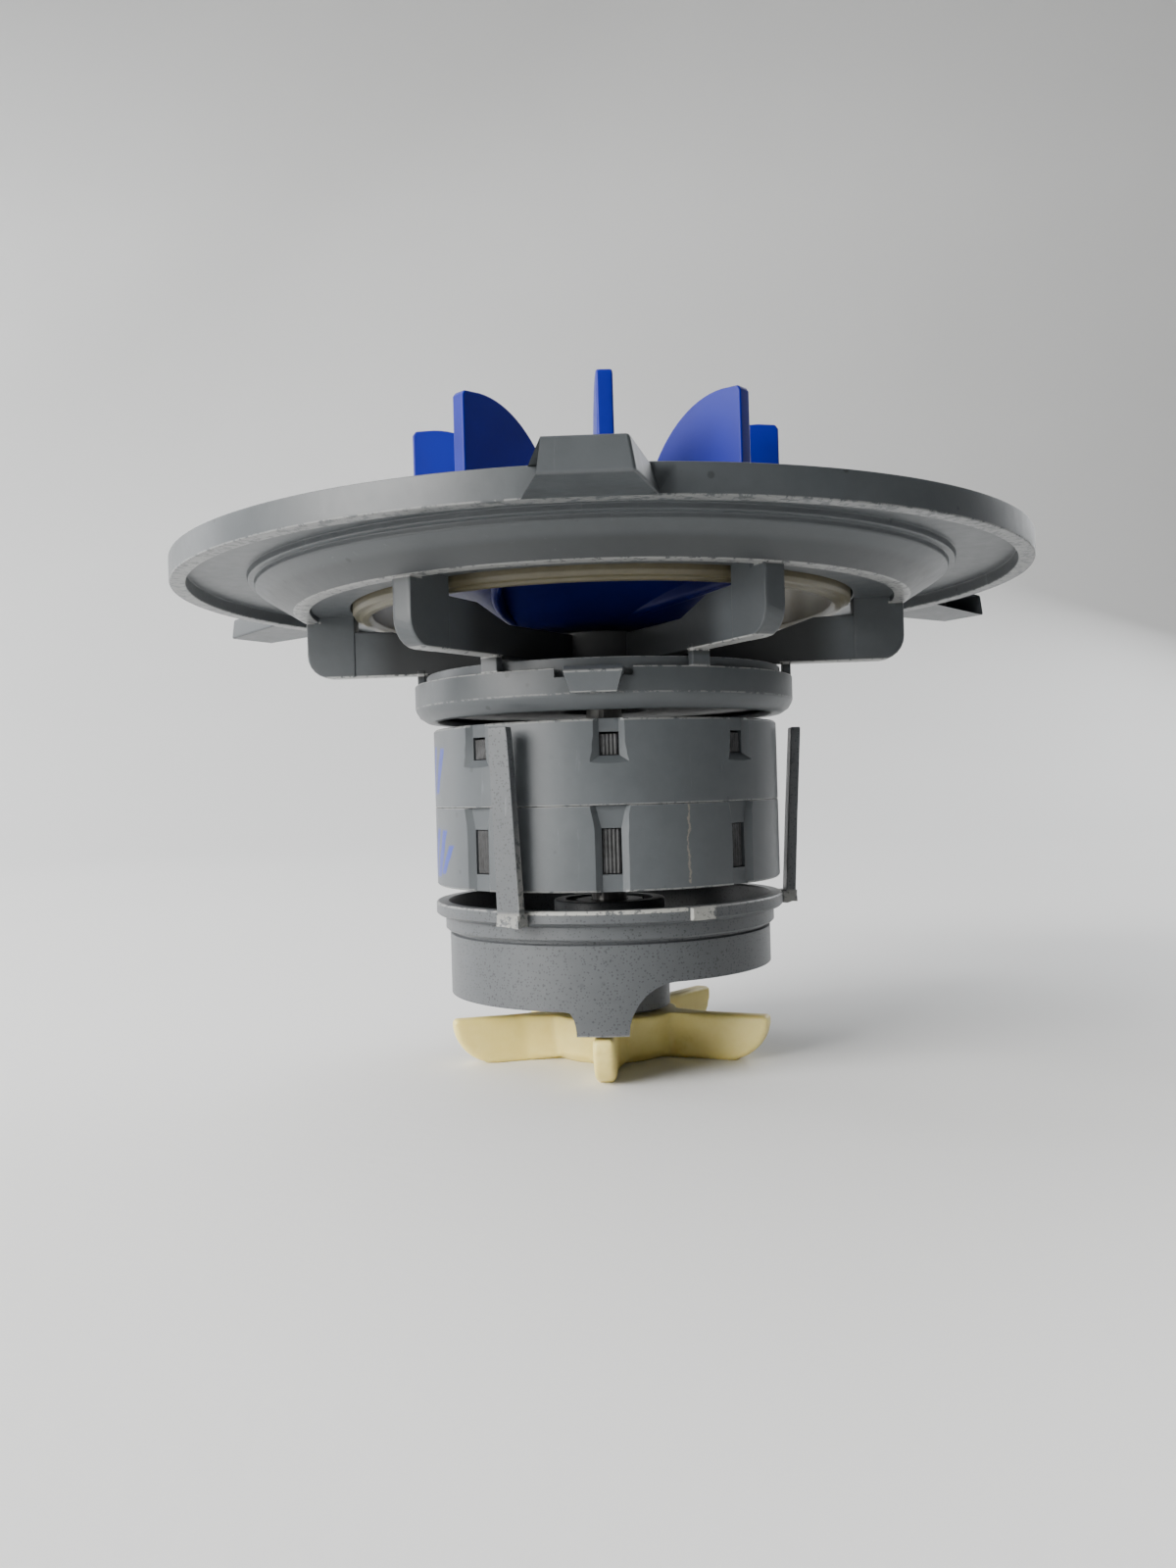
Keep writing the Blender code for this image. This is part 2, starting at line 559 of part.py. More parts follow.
def build_wash_impeller(spindle, blue, steel):
    impeller = turned("wash_impeller", bowl_profile(), BODY_SIDES, blue, spindle)
    fins = bmesh.new()
    for degrees in evenly(FIN_COUNT, FIN_AZIMUTH):
        add_radial_plate(fins, fin_outline(), FIN_THICKNESS, degrees)
    combine(impeller, add_object("fin_shapes", fins), "UNION")
    swirls = bmesh.new()
    for degrees in evenly(SWIRL_COUNT, FIN_AZIMUTH):
        add_swirl(swirls, degrees)
    combine(impeller, add_object("swirl_shapes", swirls), "UNION")

    low = HUB_Z + 5.0 * MM + GAP
    high = low + 0.8 * MM
    sleeve("impeller_washer", BUSH_BORE, SHAFT_RADIUS + 3.6 * MM, low, high, BOSS_SIDES, steel, spindle)
    nut = high + GAP
    flat_bore = BUSH_BORE / cos(pi / 6)
    sleeve("impeller_nut", flat_bore, flat_bore + 2.6 * MM, nut, nut + 4.0 * MM, 6, steel, spindle)


def blade_outline():
    """A drain blade: square at its top, with a large round corner below."""
    root = DRAIN_HUB_RADIUS - 1.2 * MM
    outline = [(root, DRAIN_HEIGHT), (root, 0.0)]
    outline += corner((DRAIN_RADIUS - BLADE_ROUND, BLADE_ROUND), BLADE_ROUND, -90, 0, 6)
    outline.append((DRAIN_RADIUS, DRAIN_HEIGHT))
    return outline


def build_drain_impeller(spindle, cream):
    chamfer = 0.5 * MM
    profile = [
        (0.0, 0.0), (DRAIN_HUB_RADIUS - chamfer, 0.0), (DRAIN_HUB_RADIUS, chamfer),
        (DRAIN_HUB_RADIUS, DRAIN_HEIGHT), (BUSH_BORE, DRAIN_HEIGHT),
        (BUSH_BORE, DRAIN_FLOOR), (0.0, DRAIN_FLOOR),
    ]
    impeller = turned("drain_impeller", profile, BODY_SIDES, cream, spindle)
    blades = bmesh.new()
    for degrees in evenly(BLADE_COUNT, BLADE_AZIMUTH):
        add_radial_plate(blades, blade_outline(), BLADE_THICKNESS, degrees)
    combine(impeller, add_object("blade_shapes", blades), "UNION")


# --- lower housing: cap, skirt and clip arms -----------------------------------------------------

def cap_profile():
    neck = CAP_RIM_RADIUS - 1.5 * MM
    inner = SKIRT_RADIUS - SKIRT_WALL
    web_low = ARCH_Z + 1.4 * MM
    web_high = web_low + 2.0 * MM
    boss_low = DRAIN_HEIGHT + 2 * GAP
    boss_high = CAP_TOP_Z - 0.6 * MM
    return [
        (SKIRT_RADIUS, LEG_Z), (SKIRT_RADIUS, GROOVE_Z - 0.4 * MM),
        (SKIRT_RADIUS - 0.5 * MM, GROOVE_Z - 0.4 * MM),
        (SKIRT_RADIUS - 0.5 * MM, GROOVE_Z), (neck, GROOVE_Z), (neck, CAP_RIM_Z - 0.4 * MM),
        (CAP_RIM_RADIUS, CAP_RIM_Z), (CAP_RIM_RADIUS, CAP_TOP_Z), (CAP_RIM_RADIUS - 2.2 * MM, CAP_TOP_Z),
        (inner, web_high), (BOSS_RADIUS, web_high), (BOSS_RADIUS, boss_high), (BOSS_BORE, boss_high),
        (BOSS_BORE, boss_low), (BOSS_RADIUS + 0.5 * MM, boss_low), (BOSS_RADIUS + 0.5 * MM, web_low),
        (inner, web_low), (inner, LEG_Z),
    ]


def build_lower_housing(swivel, speckled):
    cap = turned("lower_housing", cap_profile(), BODY_SIDES, speckled, swivel)
    combine(cap, skirt_cutter(), "DIFFERENCE")

    arms = bmesh.new()
    near = ROTOR_RADIUS + ARM_CLEARANCE
    half_foot, half_tip = ARM_FOOT_WIDTH * 0.5, ARM_TIP_WIDTH * 0.5
    lower = arm_section(-half_foot, half_foot, near, CAP_RIM_Z + 0.2 * MM)
    tip_z = ROTOR_TOP_Z - 0.6 * MM
    upper = arm_section(ARM_SLANT - half_tip, ARM_SLANT + half_tip, near + ARM_LEAN, tip_z)
    for degrees in evenly(ARM_COUNT, ARM_AZIMUTH):
        add_prism(arms, lower, upper, azimuth_matrix(degrees))
    combine(cap, add_object("arm_shapes", arms), "UNION")

    feet = bmesh.new()
    inside = CAP_RIM_RADIUS - 1.2 * MM
    low = CAP_RIM_Z + 0.5 * MM
    high = CAP_TOP_Z - 0.1 * MM
    for degrees in evenly(ARM_COUNT, ARM_AZIMUTH):
        add_block(feet, inside, near + ARM_THICKNESS * 0.8, low, high, ARM_FOOT_WIDTH - 0.2 * MM, degrees)
    add_block(feet, inside, near + 0.5 * MM, low, high, STUB_WIDTH, STUB_AZIMUTH)
    combine(cap, add_object("foot_shapes", feet), "UNION")


def arm_section(left, right, near, height):
    """A level cut through a clip arm, modelled at -Y."""
    far = near + ARM_THICKNESS
    return [(left, -near, height), (right, -near, height), (right, -far, height), (left, -far, height)]


def skirt_cutter():
    """Cuts the skirt's edge: one leg in front, the outlet arch to its right, a plain edge elsewhere."""
    fillet = 3.0
    rise = 16.0
    arch_steps = 6
    near = SKIRT_RADIUS - SKIRT_WALL - 2.0 * MM
    far = SKIRT_RADIUS + 3.0 * MM
    low = LEG_Z - 1.0 * MM
    stations = []
    for i in range(arch_steps + 1):
        t = pi * 0.5 * i / arch_steps
        stations.append((LEG_END + rise * (1.0 - cos(t)), LEG_Z + (ARCH_Z - LEG_Z) * sin(t)))
    stations += [(degrees, ARCH_Z) for degrees in spread(LEG_END + rise, ARCH_END - 3.0, 8)[1:]]
    stations += [(degrees, SKIRT_Z) for degrees in spread(ARCH_END, LEG_START + 360.0 - fillet, 36)]
    stations += [(LEG_START + 360.0 - fillet * 0.3, SKIRT_Z - SKIRT_STEP * 0.3), (LEG_START + 360.0, LEG_Z)]
    bm = bmesh.new()
    rows = []
    for degrees, height in stations:
        corners = [(near, low), (far, low), (far, height), (near, height)]
        rows.append([bm.verts.new((*polar(r, degrees), z)) for r, z in corners])
    for here, there in zip(rows, rows[1:]):
        for i in range(4):
            j = (i + 1) % 4
            bm.faces.new((here[i], here[j], there[j], there[i]))
    bm.faces.new(rows[0])
    bm.faces.new(list(reversed(rows[-1])))
    return add_object("skirt_cutter", bm)


def spread(start, end, count):
    return [start + (end - start) * i / count for i in range(count + 1)]


# --- bearings ---------------------------------------------------------------------------------

def build_bearings(root, swivel, spindle, carbon, rubber, ceramic):
    """A carbon bush in a rubber grommet in each housing, and a thrust washer at each end of the rotor."""
    levels = [
        ("upper", RING_Z + 2.0 * MM, CROWN_Z - 0.6 * MM, root),
        ("lower", DRAIN_HEIGHT + 4 * GAP, CAP_TOP_Z - 0.8 * MM, swivel),
    ]
    for name, low, high, owner in levels:
        sleeve(f"{name}_bush", BUSH_BORE, BUSH_RADIUS, low, high, BOSS_SIDES, carbon, owner)
        sleeve(f"{name}_bush_grommet", GROMMET_BORE, GROMMET_RADIUS, low, high, BOSS_SIDES, rubber, owner)
    upper = ROTOR_TOP_Z - END_PLATE_INSET + GAP
    lower = ROTOR_Z + END_PLATE_INSET - GAP - THRUST_WASHER
    for name, low in (("thrust_washer_upper", upper), ("thrust_washer_lower", lower)):
        sleeve(name, BUSH_BORE, BUSH_RADIUS, low, low + THRUST_WASHER, BOSS_SIDES, ceramic, spindle)


def clear_scene():
    for obj in list(bpy.data.objects):
        bpy.data.objects.remove(obj, do_unlink=True)


def add_axis(name):
    """An empty on the pump's axis, which carries the pieces of one moving body."""
    empty = bpy.data.objects.new(name, None)
    bpy.context.scene.collection.objects.link(empty)
    return empty


def main():
    clear_scene()
    grey = material("moulded_grey", (0.27, 0.29, 0.30), 0.5)
    speckled = material("speckled_grey", (0.25, 0.27, 0.29), 0.55)
    cream = material("cream_plastic", (0.80, 0.71, 0.42), 0.42)
    blue = material("blue_plastic", (0.01, 0.05, 0.60), 0.35)
    black = material("black_plastic", (0.012, 0.012, 0.013), 0.55)
    magnet_grey = material("ferrite", (0.05, 0.052, 0.055), 0.6)
    steel = material("steel", (0.55, 0.55, 0.56), 0.3, 1.0)
    carbon = material("carbon_bush", (0.02, 0.02, 0.021), 0.4)
    rubber = material("black_rubber", (0.015, 0.015, 0.015), 0.8)
    ceramic = material("thrust_washer", (0.62, 0.60, 0.56), 0.35)

    housing_axis = add_axis("housing_axis")
    spindle = add_axis("rotor_axis")
    swivel = add_axis("lower_housing_axis")

    build_housing(housing_axis, grey)
    build_wear_ring(housing_axis, cream)
    build_bearing_carrier(housing_axis, grey)
    build_rotor_core(spindle, steel, black, magnet_grey)
    build_rotor_shells(spindle, grey)
    build_wash_impeller(spindle, blue, steel)
    build_drain_impeller(spindle, cream)
    build_lower_housing(swivel, speckled)
    build_bearings(housing_axis, swivel, spindle, carbon, rubber, ceramic)


main()
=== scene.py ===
import math
import random

import bpy
from mathutils import Matrix, Vector


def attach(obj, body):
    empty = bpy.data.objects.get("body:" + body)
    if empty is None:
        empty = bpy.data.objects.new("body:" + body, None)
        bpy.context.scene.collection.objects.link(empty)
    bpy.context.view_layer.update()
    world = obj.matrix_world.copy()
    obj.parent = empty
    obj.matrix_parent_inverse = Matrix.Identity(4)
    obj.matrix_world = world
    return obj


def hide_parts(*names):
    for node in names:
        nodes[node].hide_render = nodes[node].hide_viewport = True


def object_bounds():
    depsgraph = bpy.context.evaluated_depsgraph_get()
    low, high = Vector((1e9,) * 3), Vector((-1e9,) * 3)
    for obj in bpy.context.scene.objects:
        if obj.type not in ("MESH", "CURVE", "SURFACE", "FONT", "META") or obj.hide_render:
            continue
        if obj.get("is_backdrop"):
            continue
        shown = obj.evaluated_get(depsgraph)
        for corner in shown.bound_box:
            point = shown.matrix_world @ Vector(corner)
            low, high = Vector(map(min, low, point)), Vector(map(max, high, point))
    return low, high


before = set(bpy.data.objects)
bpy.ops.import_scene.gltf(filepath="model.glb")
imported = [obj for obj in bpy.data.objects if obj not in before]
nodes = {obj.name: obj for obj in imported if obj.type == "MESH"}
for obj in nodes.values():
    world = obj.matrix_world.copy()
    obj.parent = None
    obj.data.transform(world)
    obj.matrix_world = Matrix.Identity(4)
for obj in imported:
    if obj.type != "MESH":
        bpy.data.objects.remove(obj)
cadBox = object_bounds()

mm = 0.001
print("frame loaded:", len(nodes), "nodes")


# camera, floor and light

view = {
    "turn": 3.3,              # degrees round the shaft
    "dip": -0.10,
    "roll": 1.63,
    "distance": 209.86,       # millimetres from the shaft
    "aside": -3.08,
    "height": 45.5,
    "lens": 28.152,
}

stage = {
    "width": 4.0,             # metres
    "wall": 2.5,
    "forward": 0.4,           # how far the floor is drawn towards the camera
    "bend": 0.9,
    "sky": 0.10,
    "skyColour": (0.93, 0.96, 1.0, 1),
    "floorColour": (0.86, 0.86, 0.85, 1),
    # place, what it points at, size, power and colour
    "lights": {
        "window": ((-0.71, -0.57, 0.42), (0, 0, 0.05), 0.65, 21.0, (1.0, 0.985, 0.96)),
        "ceiling": ((-0.75, 0.30, 1.0), (-0.05, 0.1, 0.0), 1.2, 15.0, (0.97, 0.98, 1.0)),
        "wall": ((-1.7, 0.8, 0.5), (-0.5, 1.8, 0.25), 0.8, 17.0, (0.98, 0.99, 1.0)),
        "back": ((0.75, 0.85, 0.65), (0, 0, 0.05), 0.8, 7.0, (0.96, 0.98, 1.0)),
    },
}


def addCamera():
    around = Matrix.Rotation(math.radians(view["turn"]), 3, "Z")
    dip, roll = math.radians(view["dip"]), math.radians(view["roll"])
    ahead = around @ Vector((0, math.cos(dip), -math.sin(dip)))
    above = around @ Vector((0, math.sin(dip), math.cos(dip)))
    side = around @ Vector((1, 0, 0))
    right = side * math.cos(roll) - above * math.sin(roll)
    up = side * math.sin(roll) + above * math.cos(roll)
    bpy.ops.object.camera_add()
    camera = bpy.context.object
    place = around @ Vector((view["aside"], -view["distance"], 0)) + Vector((0, 0, view["height"]))
    camera.matrix_world = Matrix((right, up, -ahead)).transposed().to_4x4()
    camera.location = place * mm
    camera.data.lens = view["lens"]
    camera.data.clip_start = 0.01
    bpy.context.scene.camera = camera


def addFloor():
    # a pale floor that sweeps up into a wall behind the part
    bpy.ops.object.select_all(action="DESELECT")
    bpy.ops.mesh.primitive_plane_add(size=stage["width"], location=(0, -stage["forward"], 0))
    floor = bpy.context.object
    floor.name = "floor"
    bpy.ops.object.transform_apply(location=True)
    for edge in floor.data.edges:
        edge.select = all(floor.data.vertices[i].co.y > 0 for i in edge.vertices)
    for vertex in floor.data.vertices:
        vertex.select = vertex.co.y > 0
    for face in floor.data.polygons:
        face.select = False
    bpy.ops.object.mode_set(mode="EDIT")
    bpy.ops.mesh.select_mode(type="EDGE")
    bpy.ops.mesh.extrude_region_move(TRANSFORM_OT_translate={"value": (0, 0, stage["wall"])})
    bpy.ops.object.mode_set(mode="OBJECT")
    bend = floor.modifiers.new("bend", "BEVEL")
    bend.width, bend.segments, bend.limit_method = stage["bend"], 24, "ANGLE"
    bpy.ops.object.modifier_apply(modifier="bend")
    bpy.ops.object.shade_smooth()
    floor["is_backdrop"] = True
    return floor


def addLight(name, place, aim, size, power, colour):
    bpy.ops.object.light_add(type="AREA", location=place)
    lamp = bpy.context.object
    lamp.name = name
    lamp.rotation_euler = (Vector(aim) - Vector(place)).to_track_quat("-Z", "Y").to_euler()
    lamp.data.shape = "RECTANGLE"
    lamp.data.size = lamp.data.size_y = size
    lamp.data.energy = power
    lamp.data.color = colour
    lamp.visible_camera = False


addCamera()
floor = addFloor()
for name, settings in stage["lights"].items():
    addLight(name, *settings)
world = bpy.data.worlds.new("studio")
bpy.context.scene.world = world
world.use_nodes = True
sky = world.node_tree.nodes["Background"]
sky.inputs["Color"].default_value = stage["skyColour"]
sky.inputs["Strength"].default_value = stage["sky"]
print("camera, floor and lights are in")


# finishes

class Wire:
    # one output of a shader node, so that sums read as sums
    def __init__(self, tree, socket):
        self.tree = tree
        self.socket = socket

    def make(self, kind, values, out=0, **settings):
        node = self.tree.nodes.new(kind)
        for name, value in settings.items():
            setattr(node, name, value)
        for key, value in values.items():
            if isinstance(value, Wire):
                self.tree.links.new(value.socket, node.inputs[key])
            else:
                node.inputs[key].default_value = value
        return Wire(self.tree, node.outputs[out])

    def sum(self, operation, *values):
        return self.make("ShaderNodeMath", dict(enumerate(values)), operation=operation)

    def __add__(self, other):
        return self.sum("ADD", self, other)

    __radd__ = __add__

    def __sub__(self, other):
        return self.sum("SUBTRACT", self, other)

    def __rsub__(self, other):
        return self.sum("SUBTRACT", other, self)

    def __mul__(self, other):
        return self.sum("MULTIPLY", self, other)

    __rmul__ = __mul__

    def __truediv__(self, other):
        return self.sum("DIVIDE", self, other)

    def ease(self, low, high):
        # 0 below low, 1 above high, smooth between them
        values = {"Value": self, 1: low, 2: high}
        return self.make("ShaderNodeMapRange", values, interpolation_type="SMOOTHSTEP")

    def band(self, low, high, soft):
        # 1 between low and high
        return self.ease(low - soft, low + soft) * (1 - self.ease(high - soft, high + soft))

    def noise(self, scale, detail=2.0, roughness=0.5, stretch=None):
        place = self
        if stretch:
            place = self.make("ShaderNodeMapping", {"Vector": self, "Scale": stretch})
        values = {"Vector": place, "Scale": scale, "Detail": detail, "Roughness": roughness}
        return self.make("ShaderNodeTexNoise", values)

    def cells(self, scale, out=0):
        # out 0 is the distance from each cell's middle, out 1 its colour
        return self.make("ShaderNodeTexVoronoi", {"Vector": self, "Scale": scale}, out=out)

    def tint(self, low, high):
        # low where this is 0, high where it is 1
        return self.make("ShaderNodeMix", {0: self, 6: low, 7: high}, out=2, data_type="RGBA")

    def split(self):
        node = self.make("ShaderNodeSeparateXYZ", {0: self}).socket.node
        return [Wire(self.tree, socket) for socket in node.outputs]


def startFinish(name, roughness, metallic=0.0):
    material = bpy.data.materials.new(name)
    material.use_nodes = True
    tree = material.node_tree
    shader = tree.nodes["Principled BSDF"]
    shader.inputs["Roughness"].default_value = roughness
    shader.inputs["Metallic"].default_value = metallic
    place = Wire(tree, tree.nodes.new("ShaderNodeTexCoord").outputs["Object"])
    return material, shader, place


def connect(shader, **wires):
    for name, wire in wires.items():
        wire.tree.links.new(wire.socket, shader.inputs[name.replace("_", " ")])


def relief(place, height, distance, strength=1.0):
    return place.make("ShaderNodeBump", {"Strength": strength, "Distance": distance, "Height": height})


def shade(colour, factor):
    return (*[min(1.0, c * factor) for c in colour], 1)


greyCare = {
    "colour": (0.078, 0.087, 0.094),
    "specks": 0.55,           # how dark the dirt specks are
    "speckScale": 310.0,
    "scuffs": 0.5,
    "roughness": 0.40,
    # pale whitened plastic for torn edges, and also the colour of the painted highlight lines
    "torn": (0.36, 0.36, 0.35, 1),
    # painted shade: near-black laid where shade falls, in the throat, under the flange and under the carrier
    "shade": (0.004, 0.004, 0.004, 1),
    "marker": (0.004, 0.026, 0.30, 1),
    # finer and coarser grains: scale, colour channel, how many, how large, strength and darkness
    "grains": (
        (1.0, 1, (0.30, 0.35), (0.16, 0.25), 0.62, 0.32),
        (2.1, 2, (0.40, 0.46), (0.24, 0.38), 0.7, 0.40),
    ),
}


def wearAndPaintedLightBand(heights, radii, strength, ragged, soft=0.08, fade=0.1, turn=None, wander=0.0, colour=None):
    # one band between two heights, two radii and, with turn, two azimuths; bands hold whitened torn plastic,
    # painted shade and painted highlight lines
    return {
        "heights": heights, "radii": radii, "strength": strength, "ragged": ragged, "soft": soft,
        "fade": fade, "turn": turn, "wander": wander, "colour": colour or greyCare["torn"],
    }


def wearAndPaintedLightMask(place, band, torn):
    x, y, z = place.split()
    low, high = band["heights"]
    mask = z.band(low * mm, high * mm, band["soft"] * mm)
    low, high = band["radii"]
    mask = mask * x.sum("SQRT", x * x + y * y).band(low * mm, high * mm, band["fade"] * mm)
    if band["turn"]:
        low, high = band["turn"]
        azimuth = x.sum("ARCTAN2", x, y * -1.0) + (place.noise(330.0, 4.0, 0.7) - 0.5) * band["wander"]
        mask = mask * azimuth.band(math.radians(low), math.radians(high), 0.005)
    return mask * torn.ease(band["ragged"], band["ragged"] + 0.12) * band["strength"]


def greyFinish(name, colour, bands, specks=1.0, grainScale=None, marks=None):
    # moulded grey plastic: slow drifts of tone, pale scuffs, dirt specks and pale torn edges; its bands also
    # lay painted shade in hollows and painted highlight lines on edges
    material, shader, place = startFinish(name, greyCare["roughness"])
    drift = place.noise(38.0, 3.0, 0.6)
    mottle = place.noise(420.0, 3.0, 0.65)
    base = (drift * 0.6 + mottle * 0.4).ease(0.25, 0.75).tint(shade(colour, 0.88), shade(colour, 1.10))

    scuffs = place.noise(150.0, 5.0, 0.75, (4.0, 4.0, 0.45)).ease(0.62, 0.72)
    scuffs = scuffs * place.noise(45.0, 2.0).ease(0.50, 0.62) * greyCare["scuffs"]
    base = scuffs.tint(base, shade(colour, 1.9))

    chosen = place.cells(greyCare["speckScale"], 1).split()[0].ease(0.86, 0.88)
    dirt = (1 - place.cells(greyCare["speckScale"]).ease(0.10, 0.17)) * chosen * specks * greyCare["specks"]
    base = dirt.tint(base, shade(colour, 0.25))
    if grainScale:
        for scale, channel, chance, size, strength, darkness in greyCare["grains"]:
            chosen = place.cells(grainScale * scale, 1).split()[channel].ease(*chance)
            grains = (1 - place.cells(grainScale * scale).ease(*size)) * chosen
            base = (grains * strength).tint(base, shade(colour, darkness))

    torn = place.noise(900.0, 3.0, 0.7)
    for band in bands:
        base = wearAndPaintedLightMask(place, band, torn).tint(base, band["colour"])
    if marks:
        base = marks(place).tint(base, greyCare["marker"])

    rough = mottle * 0.16 + drift * 0.10 + (greyCare["roughness"] - 0.12) - scuffs * 0.15
    grain = place.noise(2600.0, 2.0, 0.6) * 0.5 + mottle * 0.5 + scuffs
    connect(shader, Base_Color=base, Roughness=rough, Normal=relief(place, grain, 0.00006, 0.35))
    return material


def creamFinish(name, colour, deep):
    material, shader, place = startFinish(name, 0.42)
    drift = place.noise(45.0, 3.0, 0.6)
    fine = place.noise(700.0, 3.0, 0.6)
    base = (drift * 0.7 + fine * 0.3).ease(0.3, 0.7).tint(deep, colour)
    stain = place.noise(120.0, 4.0, 0.7).ease(0.60, 0.75) * 0.35
    stained = (deep[0] * 0.72, deep[1] * 0.66, deep[2] * 0.5, 1)
    base = stain.tint(base, stained)
    rough = fine * 0.15 + 0.34
    shader.inputs["Subsurface Weight"].default_value = 0.25
    shader.inputs["Subsurface Radius"].default_value = (0.004, 0.003, 0.0015)
    shader.inputs["Subsurface Scale"].default_value = 0.4
    connect(shader, Base_Color=base, Roughness=rough, Normal=relief(place, fine + drift * 2.0, 0.00007, 0.3))
    return material


def blueFinish(name, bowlTop):
    material, shader, place = startFinish(name, 0.30)
    drift = place.noise(60.0, 2.0)
    fine = place.noise(900.0, 3.0, 0.6)
    base = drift.ease(0.3, 0.7).tint((0.0012, 0.005, 0.20, 1), (0.0022, 0.009, 0.29, 1))
    streak = place.noise(70.0, 3.0, 0.7, (1.0, 1.0, 8.0)).ease(0.64, 0.78) * 0.35
    base = streak.tint(base, (0.015, 0.045, 0.40, 1))
    # painted shade: the bowl below the disc is darkened, for the shade under the disc
    height = place.split()[2]
    bowl = 1 - height.ease((bowlTop - 0.5) * mm, (bowlTop + 0.4) * mm)
    base = (bowl * 0.75).tint(base, (0.0002, 0.0006, 0.012, 1))
    shader.inputs["Specular IOR Level"].default_value = 0.3
    rough = fine * 0.14 + drift * 0.12 + 0.34
    connect(shader, Base_Color=base, Roughness=rough, Normal=relief(place, fine + drift, 0.00006, 0.25))
    return material


def darkFinish(name, low, high, roughness, scale, bump):
    # low and high are the two tones it drifts between
    material, shader, place = startFinish(name, roughness)
    tone = place.noise(scale, 4.0, 0.65)
    dust = place.noise(scale * 0.2, 3.0, 0.6).ease(0.50, 0.72) * 0.5
    base = tone.ease(0.3, 0.7).tint(low, high)
    base = dust.tint(base, shade(high[:3], 2.6))
    rough = tone * 0.2 + (roughness - 0.1)
    connect(shader, Base_Color=base, Roughness=rough, Normal=relief(place, tone, bump, 0.5))
    return material


def steelFinish(name):
    # turned steel: fine rings round the shaft, and dull patches
    material, shader, place = startFinish(name, 0.3, 1.0)
    rings = place.noise(220.0, 3.0, 0.6, (0.15, 0.15, 9.0))
    patch = place.noise(90.0, 4.0, 0.65)
    base = patch.ease(0.35, 0.7).tint((0.34, 0.34, 0.33, 1), (0.16, 0.155, 0.15, 1))
    rough = rings * 0.22 + patch * 0.15 + 0.12
    connect(shader, Base_Color=base, Roughness=rough, Normal=relief(place, rings, 0.00002, 0.5))
    return material


def floorFinish():
    material, shader, place = startFinish("pale floor", 0.55)
    drift = place.noise(3.0, 2.0)
    grain = place.noise(420.0, 2.0, 0.5)
    base = drift.tint(stage["floorColour"], shade(stage["floorColour"][:3], 0.93))
    connect(shader, Base_Color=base, Normal=relief(place, grain, 0.0002, 0.25))
    return material


floor.data.materials.append(floorFinish())

steel = steelFinish("ground steel")
tones = {
    "blackPlastic": ((0.010, 0.010, 0.011, 1), (0.022, 0.022, 0.024, 1)),
    "carbon": ((0.012, 0.012, 0.013, 1), (0.035, 0.035, 0.036, 1)),
    "rubber": ((0.008, 0.008, 0.008, 1), (0.018, 0.018, 0.018, 1)),
    "ferrite": ((0.016, 0.0165, 0.017, 1), (0.040, 0.041, 0.043, 1)),
}
blackPlastic = darkFinish("black plastic", *tones["blackPlastic"], 0.5, 500.0, 0.00005)
carbon = darkFinish("carbon bush", *tones["carbon"], 0.38, 1500.0, 0.00003)
rubber = darkFinish("black rubber", *tones["rubber"], 0.75, 800.0, 0.0001)
ferrite = darkFinish("ferrite", *tones["ferrite"], 0.62, 1200.0, 0.00012)
ceramic = creamFinish("ceramic", (0.66, 0.64, 0.60, 1), (0.50, 0.48, 0.45, 1))

kept = {
    "shaft": steel, "back_iron": steel, "impeller_washer": steel, "impeller_nut": steel,
    "rotor_hub": blackPlastic,
    "rotor_end_plate_lower": blackPlastic, "rotor_end_plate_upper": blackPlastic,
    "upper_bush": carbon, "lower_bush": carbon,
    "upper_bush_grommet": rubber, "lower_bush_grommet": rubber,
    "thrust_washer_lower": ceramic, "thrust_washer_upper": ceramic,
}
for name, material in kept.items():
    nodes[name].data.materials.clear()
    nodes[name].data.materials.append(material)
print("finishes are ready, and", len(kept), "nodes keep their CAD shape")


# modelling

def edit():
    bpy.ops.object.mode_set(mode="EDIT")


def leave():
    bpy.ops.object.mode_set(mode="OBJECT")


def push(x, y, z):
    # extrudes what is selected
    bpy.ops.mesh.extrude_region_move(TRANSFORM_OT_translate={"value": (x * mm, y * mm, z * mm)})


def fill():
    bpy.ops.mesh.select_all(action="SELECT")
    bpy.ops.mesh.edge_face_add()


def scaled(x, y, z, height):
    # resizes what is selected about a point on the shaft
    bpy.ops.transform.resize(value=(x, y, z), center_override=(0, 0, height * mm))


def startRing(name, radius, height, sides):
    bpy.ops.object.select_all(action="DESELECT")
    bpy.ops.mesh.primitive_circle_add(vertices=sides, radius=radius * mm, location=(0, 0, 0))
    piece = bpy.context.object
    piece.name = piece.data.name = name
    edit()
    bpy.ops.mesh.select_mode(type="EDGE")
    bpy.ops.transform.translate(value=(0, 0, height * mm))
    return piece


def startLine(name, points):
    # one vertex, extruded from point to point and closed
    bpy.ops.object.select_all(action="DESELECT")
    bpy.ops.mesh.primitive_plane_add(size=mm, location=(0, 0, 0))
    piece = bpy.context.object
    piece.name = piece.data.name = name
    edit()
    bpy.ops.mesh.select_mode(type="VERT")
    bpy.ops.mesh.merge(type="CENTER")
    places = [Vector(point) * mm for point in points]
    bpy.ops.transform.translate(value=places[0])
    for here, there in zip(places, places[1:]):
        bpy.ops.mesh.extrude_vertices_move(TRANSFORM_OT_translate={"value": there - here})
    leave()
    last = len(piece.data.vertices) - 1
    pick(piece, lambda place, index: index in (0, last))
    edit()
    bpy.ops.mesh.edge_face_add()
    return piece


def pick(piece, test):
    # selects the vertices that pass the test, and the edges and faces between them
    mesh = piece.data
    for vertex in mesh.vertices:
        vertex.select = bool(test(vertex.co, vertex.index))
    for edge in mesh.edges:
        edge.select = all(mesh.vertices[i].select for i in edge.vertices)
    for face in mesh.polygons:
        face.select = all(mesh.vertices[i].select for i in face.vertices)


